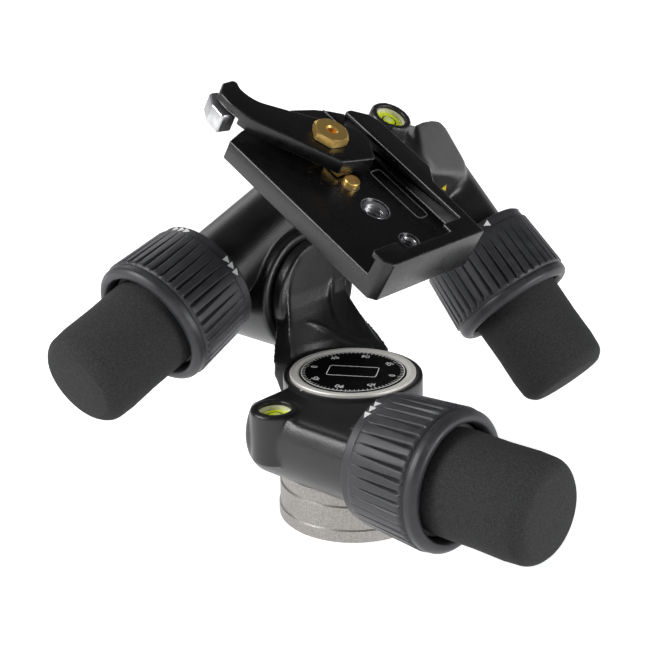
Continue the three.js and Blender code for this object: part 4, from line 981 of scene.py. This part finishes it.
def side_casting():
    drum = moved(rod(DRUM_RADIUS, 80.9, 115.5, FINE, DRUM_ROUNDING), ALONG_Y)
    boss, vial_room = vial_boss(TOP_VIAL, 56.0, 8.4)
    level = joined(moved(cad_solid("side_tilt_housing"), TO_TOP), drum, boss)
    barrel = worm_barrel("side", 16.5, WORM_LENGTH)
    bm = joined(moved(level, TOP_PLACE), barrel, slope_wedge())
    wheel_room = moved(rod(DRUM_ROOM, 93.5, 120, FINE), ALONG_Y)
    axle = moved(rod(AXLE_HOLE, 79, 120), ALONG_Y)
    rooms = [moved(room, TOP_PLACE) for room in (vial_room, wheel_room, axle)]
    rooms += worm_bores("side", 7.6, 9.6, WORM_LENGTH)
    bm = cast(cut(bm, *rooms), LARGE_CAST_GRID)
    return eased(bm, on_bridge_slope, 45)


finished("side_casting", side_casting(), HOME, "cast_black", "side_body",
         ["side_tilt_housing"], smooth=60)

# %% [markdown]
# Each cap closes a drum: a turned disc with a stepped edge and a spigot that reaches inside.

# %% Drum caps
CAP_THICK = 4.0


def drum_cap():
    return turned(
        [(0, -3.1), (9.5, -3.1, 0.3), (10.1, -3.7, 0.3), (20.6, -3.7, 0.3),
         (21.2, -CAP_THICK, 0.3), (DRUM_RADIUS, -CAP_THICK, DRUM_ROUNDING), (DRUM_RADIUS, 0),
         (21.2, 0), (21.2, 6.2), (AXLE_HOLE, 6.2), (AXLE_HOLE, 0), (0, 0)],
        steps=FINE, corner_steps=6,
    )


front_cap_place = FRONT_AXIS @ ALONG_X @ shift(z=-77.9)
side_cap_place = TOP_PLACE @ ALONG_Y @ shift(z=115.8) @ Matrix.Rotation(math.pi, 4, "X")
finished("front_cap", drum_cap(), front_cap_place, "cast_black", "front_body", ["front_drum_cap"])
finished("side_cap", drum_cap(), side_cap_place, "cast_black", "side_body", ["side_drum_cap"])

# %% [markdown]
# ## The quick release adapter
# A camera plate slides under the rail on the far side, and under the jaw at the right end. The
# adapter is machined, so it is cut from flat slabs and only its edges are broken. A bevel
# needs clean faces, so the triangles that the cutting leaves are dissolved first. The round
# holes come last, because the bevel would spoil their rims.

# %% Broken edges
BREAK_WIDTH = 0.6


def edges_broken(bm):
    """Merges flat faces, and rounds every edge that turns by more than 35 degrees."""
    bmesh.ops.dissolve_limit(bm, angle_limit=math.radians(1.0), verts=bm.verts, edges=bm.edges)
    made = as_object(bm, "edged")
    edge = made.modifiers.new("edge", "BEVEL")
    edge.limit_method = "ANGLE"
    edge.angle_limit = math.radians(35.0)
    edge.width = BREAK_WIDTH
    edge.segments = 3
    edge.use_clamp_overlap = False
    return settled(made)


# %% Adapter plate
FLOOR_LEVEL = 68.6
RAIL_TOP = 77.6
MIDDLE_Y = -3.0
PIVOT = Vector((11.5, MIDDLE_Y))
STUD_RADIUS = 3.8
TRIGGER_X = 28.6
INSERTS = {"large": (42.5, 4.75, 1.6), "small": (60.8, 3.15, 1.27)}  # x, radius, pitch
FLOOR_OUTLINE = [
    (-7.4, -33.5), (71.6, -33.5), (74.3, -30.8), (74.3, 20.5), (45.9, 22.0), (38.8, 27.5),
    (-5.3, 27.5), (-8.6, 22.4), (-11.5, 16.0), (-14.1, 6.0), (-14.5, -3.0), (-13.2, -14.0),
    (-10.4, -25.0)]
RAIL_OUTLINE = [
    (1.5, 16.8), (65.0, 16.8), (65.0, 6.5), (69.2, 6.5), (69.2, -20.3), (65.0, -20.3),
    (65.0, -32.4), (65.9, -33.5), (71.6, -33.5), (74.3, -30.8), (74.3, 20.5), (45.9, 22.0),
    (38.8, 27.5), (10.8, 27.5), (5.9, 25.5), (1.5, 19.6)]


def insert_hole(x, radius):
    hole = turned([(0, -12), (radius + 0.1, -12), (radius + 0.1, -0.8), (radius + 1.0, 0.1),
                   (0, 0.1)], ROUND)
    return moved(hole, shift(x, MIDDLE_Y, FLOOR_LEVEL))


def adapter_shape():
    rail = slab(RAIL_OUTLINE, FLOOR_LEVEL - 1, RAIL_TOP)
    bm = joined(slab(FLOOR_OUTLINE, 60.4, FLOOR_LEVEL), rail)
    under_rail = block((-20, -40, FLOOR_LEVEL), (67.6, 19.4, 75.2))
    bm = edges_broken(cut(bm, under_rail))
    holes = [insert_hole(x, radius) for x, radius, _ in INSERTS.values()]
    holes.append(moved(rod(STUD_RADIUS, 63.3, 80, COARSE), shift(*PIVOT)))
    holes.append(moved(rod(3.4, 61.8, 80, COARSE), shift(TRIGGER_X, MIDDLE_Y)))
    return cut(bm, *holes)


finished("adapter", adapter_shape(), TOP_PLACE, "plate_paint", "side_body", ["adapter_plate"])

# %% [markdown]
# Two steel inserts take camera screws. Their threads catch the light as bright arcs, so the
# bore has real threads. Rings look the same as a spiral here, and they spin closed.

# %% Threaded inserts
INSERT_DEPTH = 8.0


def insert_shape(radius, pitch):
    thread = []
    for k in range(int(INSERT_DEPTH / pitch)):
        low = -INSERT_DEPTH + k * pitch
        thread += [(radius - 1.2, low + 0.12 * pitch), (radius - 0.3, low + 0.55 * pitch)]
    return turned([(0, -11.0), (radius, -11.0), (radius, -0.9), (radius - 0.15, -0.7),
                   *reversed(thread), (0, -INSERT_DEPTH)], ROUND)


for size, (x, radius, pitch) in INSERTS.items():
    finished("adapter_insert_" + size, insert_shape(radius, pitch),
             TOP_PLACE @ shift(x, MIDDLE_Y, FLOOR_LEVEL), "steel", "side_body",
             ["adapter_screw_" + size], smooth=30)

# %% [markdown]
# A thin line frames an empty panel on the adapter's floor, and another one on the dial.

# %% Bare panel


def rectangle(low, high, rounding):
    (left, front), (right, rear) = low, high
    return [(left, front, rounding), (right, front, rounding), (right, rear, rounding),
            (left, rear, rounding)]


def panel_frame(low, high, width, rounding, inner_rounding, half_height):
    """The raised line round a panel: a rounded rectangle with a smaller one cut out."""
    inset = Vector((width, width))
    inside = rectangle(Vector(low) + inset, Vector(high) - inset, inner_rounding)
    outer = slab(rectangle(low, high, rounding), -half_height, half_height)
    return cut(outer, slab(inside, -1, 1))


finished("panel_line", panel_frame((25.6, 10.4), (53.6, 16.7), 0.5, 1.8, 1.4, 0.1),
         TOP_PLACE @ shift(z=FLOOR_LEVEL), "panel_print", "side_body")

# %% [markdown]
# ## The lever
# The lever clamps the camera plate. Its outline was read from the photograph point by point,
# each point's sight line meeting the level of the lever's top. It is a flat plate with broken
# edges and a thin tip, with a brass nut on its pivot and a brass jaw below.

# %% Lever
LEVER_LOW = 71.6
LEVER_SEEN = [(222.7, 82.7, 2.6), (236.5, 78.8, 3.2), (240.5, 89, 8), (256, 100.5, 16),
              (291, 110.5, 14), (359, 128.5, 5), (370, 139, 5), (375.5, 158.5, 1.5),
              (343.5, 162, 2), (250, 118.8, 20), (229, 101.5, 18), (220, 91.5, 5)]


def lever_shape():
    level = TOP_PLACE @ Vector((0, 0, RAIL_TOP))
    points = on_plane([seen[:2] for seen in LEVER_SEEN], level, TOP_PLACE.to_3x3().col[2])
    corners = [(*(TO_TOP @ point).xy, seen[2]) for point, seen in zip(points, LEVER_SEEN)]
    plate = slab(corners, LEVER_LOW, RAIL_TOP, 0.65, steps=8)
    stud = rod(STUD_RADIUS, 60, 90, COARSE)
    pocket = block((4.7, -3.3, 66), (12.8, 6.3, LEVER_LOW + 2.3))
    below_tip = block((-50, -50, 66), (-23, 20, LEVER_LOW + 2.5))
    rooms = [moved(room, shift(*PIVOT)) for room in (stud, pocket, below_tip)]
    return cut(plate, *rooms)


finished("lever", lever_shape(), TOP_PLACE, "plate_paint", "lever", ["clamp_lever"])

# %% [markdown]
# The nut's upper corners are rounded, as where a hexagon meets a turned shell. The trigger is
# a brass pin with a cross slot. The jaw comes from the CAD model, with its edges broken.

# %% Brass nut and its stud
NUT_SEAT = 77.9
NUT_RADIUS = 7.3
STUD_END = 63.6


def nut_shape():
    nut = moved(turned([(0, 0), (NUT_RADIUS, 0), (NUT_RADIUS, 3.4), (0, 3.4)], steps=6),
                about_z(24))
    shell = turned([(0, -1), (NUT_RADIUS, -1), (NUT_RADIUS, 2.7), (6.1, 3.45), (0, 3.45)])
    nut = combined(nut, [shell], "INTERSECT")
    hole = turned([(0, 0.8), (1.7, 0.8), (1.7, 2.8), (2.5, 3.5), (0, 3.5)], COARSE)
    washer_line = turned([(6.9, -0.2), (9, -0.2), (9, 0.25), (6.9, 0.6)], closed=True)
    nut = cut(nut, hole, washer_line)
    return joined(nut, rod(3.5, 0.5 - (NUT_SEAT - STUD_END), 0.4, COARSE))


finished("pivot_nut", nut_shape(), TOP_PLACE @ shift(*PIVOT, NUT_SEAT), "brass", "side_body",
         ["lever_pivot"], smooth=30)

# %% Jaw and trigger
TRIGGER_TOP = 71.1


def trigger_shape():
    pin = turned([(0, -7.0), (3.1, -7.0, 0.3), (3.1, 0, 0.45), (0, 0)], COARSE)
    slots = [moved(block(low, high), about_z(20)) for low, high in
             (((-0.2, -2, -0.5), (0.2, 2, 1)), ((-2, -0.2, -0.5), (2, 0.2, 1)))]
    ring = turned([(1.9, -0.35), (2.15, -0.35), (2.15, 0.5), (1.9, 0.5)], COARSE, closed=True)
    return cut(pin, *slots, ring)


jaw = edges_broken(moved(cad_solid("clamp_jaw"), TO_TOP))
finished("jaw", jaw, TOP_PLACE, "brass", "lever", ["clamp_jaw"])
finished("trigger", trigger_shape(), TOP_PLACE @ shift(TRIGGER_X, MIDDLE_Y, TRIGGER_TOP),
         "brass", "trigger", ["trigger_pin"], smooth=30)

# %% [markdown]
# The safety catch is a steel block on a pin below the lever's thin tip, with a deep face for
# the thumb. It is a slab with rounded corners and edges.

# %% Safety catch
CATCH_OUTLINE = [(-39.8, -24.4, 1.2), (-39.2, -19.5, 3), (-30, -17.5, 3), (-26, -22.8, 1.2),
                 (-26.9, -29, 1.2), (-33.9, -28.2, 1.5)]


def catch_shape():
    pin_hole = moved(rod(1.8, 60, 80, 32), shift(-32.0, -21.2))
    return cut(slab(CATCH_OUTLINE, 65.2, 73.4, 0.9), pin_hole)


finished("catch_plate", catch_shape(), TOP_PLACE @ shift(*PIVOT), "steel", "catch",
         ["safety_catch"])

# %% [markdown]
# ## The dial
# The dial shows how far the head has panned. A bright turned ring frames a black disc with a
# white circle, a tick every five degrees and plain numbers. The print is thin raised geometry,
# so its edges stay sharp close up. The maker's panel in the middle is left bare.

# %% Dial ring and face
DIAL_LOW = 56.0
DIAL_TOP = 59.1
dial_ring = turned([(20.9, DIAL_LOW), (24.5, DIAL_LOW), (24.5, 59.0, 0.3), (24.2, 59.4, 0.3),
                    (22.6, 59.4, 0.3), (21.4, 58.95, 0.3), (20.9, 58.8)], FINEST, closed=True)
dial_face = turned([(0, DIAL_LOW), (20.6, DIAL_LOW), (20.6, 58.95), (20.45, DIAL_TOP),
                    (0, DIAL_TOP)], FINEST)
finished("dial_ring_turned", dial_ring, HOME, "dial_metal", "base", ["dial_ring"], smooth=30)
finished("dial_disc", dial_face, HOME, "dial_black", "base", ["dial_face"], smooth=30)

# %% Dial circle and ticks
PRINT_HEIGHT = 0.05
PRINT_LOW, PRINT_TOP = DIAL_TOP - PRINT_HEIGHT, DIAL_TOP + PRINT_HEIGHT
TICK_CIRCLE = 19.8
CIRCLE_OUTER = 20.15
TICK_WIDTH = 0.22
LONG_TICK, SHORT_TICK = 1.9, 1.25
DIAL_START = 22.5


def dial_ticks():
    marks = bmesh.new()
    for k in range(72):
        length = LONG_TICK if k % 9 == 0 else SHORT_TICK
        place = about_z(DIAL_START + 5 * k) @ shift(TICK_CIRCLE - length / 2, 0, DIAL_TOP)
        size = Matrix.Diagonal((length, TICK_WIDTH, 2 * PRINT_HEIGHT, 1))
        bmesh.ops.create_cube(marks, size=1, matrix=place @ size)
    return marks


dial_circle = turned([(TICK_CIRCLE, PRINT_LOW), (CIRCLE_OUTER, PRINT_LOW),
                      (CIRCLE_OUTER, PRINT_TOP), (TICK_CIRCLE, PRINT_TOP)], FINEST, closed=True)
finished("dial_circle", dial_circle, HOME, "white_print", "base")
finished("dial_ticks", dial_ticks(), HOME, "white_print", "base")

# %% Dial numbers
NUMBER_SIZE = 3.7
NUMBER_CIRCLE = 15.7


def number_mesh(text):
    """A plain number, centred on the origin and lifted a little, as a closed solid."""
    curve = bpy.data.curves.new("number", "FONT")
    curve.body = text
    curve.size = NUMBER_SIZE
    curve.align_x = "CENTER"
    curve.align_y = "CENTER"
    curve.extrude = PRINT_HEIGHT
    return mesh_of(curve)


def dial_numbers():
    marks = bmesh.new()
    on_circle = shift(NUMBER_CIRCLE, 0, DIAL_TOP) @ about_z(-90)
    for k, text in enumerate(("0", "45", "90", "45") * 2):
        mesh = number_mesh(text)
        mesh.transform(about_z(DIAL_START + 45 * k) @ on_circle)
        absorb(marks, mesh)
    return merged(marks)


finished("dial_numbers", dial_numbers(), HOME, "white_print", "base")

# %% Dial panel and index dot
dial_panel = panel_frame((-9.8, -5.0), (9.8, 5.0), 0.3, 1.2, 0.9, PRINT_HEIGHT)
finished("dial_panel", dial_panel, shift(z=DIAL_TOP) @ about_z(31), "white_print", "base")
index_dot = turned([(0, -0.1), (0.42, -0.1), (0.42, 0.06), (0, 0.06)], 24)
finished("index_dot", index_dot, about_z(-98) @ shift(25.9, 0, PAN_TOP), "white_print",
         "pan_body")

# %% [markdown]
# ## The bubble levels
# Each level is a little cup of tinted spirit under a window. A pale rim holds the window, a
# black circle marks the middle, and a bubble floats under it. All four are turned, and sit
# low in their boss, which shades them.

# %% Bubble levels
CUP = [(0, -5.0), (6.5, -5.0), (6.5, -3.5), (5.9, -3.5), (5.9, -3.3), (3.0, -3.0), (0, -2.9)]
RIM = [(5.95, -3.45), (6.45, -3.45), (6.45, -1.75), (5.95, -1.75)]
CIRCLE = [(2.6, -3.2), (3.05, -3.2), (3.05, -2.95), (2.6, -2.9)]
BUBBLE = [(0, -3.1), (1.9, -3.1), (1.9, -2.9, 0.1), (1.4, -2.72, 0.5), (0, -2.64)]
LEVELS = {
    "pan": ("pan_body", shift(*PAN_VIAL), (0.9, 0.5)),
    "top": ("side_body", TOP_PLACE @ shift(*TOP_VIAL), (-0.9, 0.4)),
}
for name, (body, place, drift) in LEVELS.items():
    name += "_vial"
    finished(name, turned(CUP, ROUND), place, "vial_fluid", body,
             [name.replace("vial", "level_vial")], smooth=50)
    finished(name + "_rim", turned(RIM, ROUND, True), place, "vial_rim", body)
    finished(name + "_circle", turned(CIRCLE, ROUND, True), place, "dial_black", body)
    finished(name + "_bubble", turned(BUBBLE, COARSE), place @ shift(*drift), "bubble", body)

# %% [markdown]
# ## The base
# The base is turned from bare metal. A screw thread in its middle takes the tripod, three
# screws hold it from below, and two fine steps run round its side.

# %% Base


def base_shape():
    cup = turned(
        [(0, 0), (29.3, 0, 0.3), (30, 0.7, 0.3), (30, 5.1, 0.15), (29.45, 5.6, 0.1),
         (29.45, 14.7, 0.15), (28.8, 15.3, 0.1), (28.8, 20.6, 0.3), (19.3, 20.6, 0.3),
         (19.3, 17.3), (0, 17.3)], FINEST)
    holes = [rod(7.45, -1, 12.3)]
    for k in range(3):
        place = about_z(120 * k) @ shift(14.5)
        holes += [moved(rod(4.5, -1, 5.6, 32), place), moved(rod(2.7, 4, 30, 24), place)]
    return cut(cup, *holes)


finished("base_turned", base_shape(), HOME, "base_metal", "base", ["tripod_base"],
         smooth=35)

# %% [markdown]
# ## Print on the rings and the bridge
# Small white triangles on each ring's band show which way to turn it to lift the worm out.
# The words between them are left off. Two yellow triangles on the bridge mark its level line.
# Like the print of the dial, they are thin solids.

# %% Ring triangles
TRIANGLE_LOW, TRIANGLE_HIGH = 1.4, 4.3
TRIANGLE_SINK = 0.12
TRIANGLE_STANDS = 0.07
RING_TRIANGLES_SEEN = {
    "front": [(178, 227.3), (183.5, 228.3), (189, 229.4), (228.5, 259), (233.4, 265),
              (237.9, 271.5)],
    "pan": [(376.3, 404.8), (371.3, 409.4), (366.9, 415.6)],
    "side": [(519.4, 211.9), (487.3, 225.6)],
}


def ring_turn(which, x, y):
    """The angle about the knob at which a pixel's sight line meets the ring's band."""
    to_knob = knob_place(which).inverted()
    eye = to_knob @ CAMERA_IN_MM
    line = to_knob.to_3x3() @ sight_line(x, y)
    a = line.x ** 2 + line.y ** 2
    b = eye.x * line.x + eye.y * line.y
    c = eye.x ** 2 + eye.y ** 2 - RING_BAND_RADIUS ** 2
    near = (-b - math.sqrt(max(0.0, b * b - a * c))) / a
    hit = eye + line * near
    return math.degrees(math.atan2(hit.y, hit.x))


def ring_triangles(turns):
    """Small printed triangles on the band, at these angles in degrees."""
    pointing = 1 if (turns[1] - turns[0] + 180) % 360 > 180 else -1
    marks = bmesh.new()
    height = TRIANGLE_HIGH - TRIANGLE_LOW
    half = math.degrees(height / 2 / RING_BAND_RADIUS) * 0.95
    middle = (TRIANGLE_LOW + TRIANGLE_HIGH) / 2
    shape = ((TRIANGLE_LOW, -half), (TRIANGLE_HIGH, -half), (middle, half))
    for turn in turns:
        corners = [around(RING_BAND_RADIUS, math.radians(turn + pointing * offset), level)
                   for level, offset in shape]
        raised(marks, corners, around(1, math.radians(turn)), TRIANGLE_SINK, TRIANGLE_STANDS)
    return outward(marks)


for which, seen in RING_TRIANGLES_SEEN.items():
    turns = [ring_turn(which, x, y) for x, y in seen]
    finished(which + "_ring_triangles", ring_triangles(turns), knob_place(which),
             "white_print", which + "_ring", smooth=20)

# %% Level marks on the bridge
LEVEL_MARKS_SEEN = [[(436.5, 184), (441, 181.5), (440.5, 188)],
                    [(441.5, 188.5), (446, 184.5), (445.5, 191)]]
MARK_SINK = 0.3
MARK_STANDS = 0.15


def level_marks():
    marks = bmesh.new()
    surface = BVHTree.FromBMesh(cad_solid("side_tilt_housing"))
    for seen in LEVEL_MARKS_SEEN:
        points = seen_on(surface, seen)
        raised(marks, [point for point, _ in points], points[0][1], MARK_SINK, MARK_STANDS)
    return outward(marks)


finished("level_marks", level_marks(), HOME, "yellow_print", "side_body", smooth=20)

# %% [markdown]
# ## Finishes of the pieces that stay
# Every other CAD piece keeps its shape and gets the finish of its slot in the record.

# %% Finishes of the CAD pieces
slot_of_node = {part["node"]: part["material_slot"] for part in frame["record"]["subparts"]}
for name, node in nodes.items():
    node.data.materials.clear()
    node.data.materials.append(FINISH[slot_of_node[name]])
print("dressed", len(nodes), "CAD pieces")
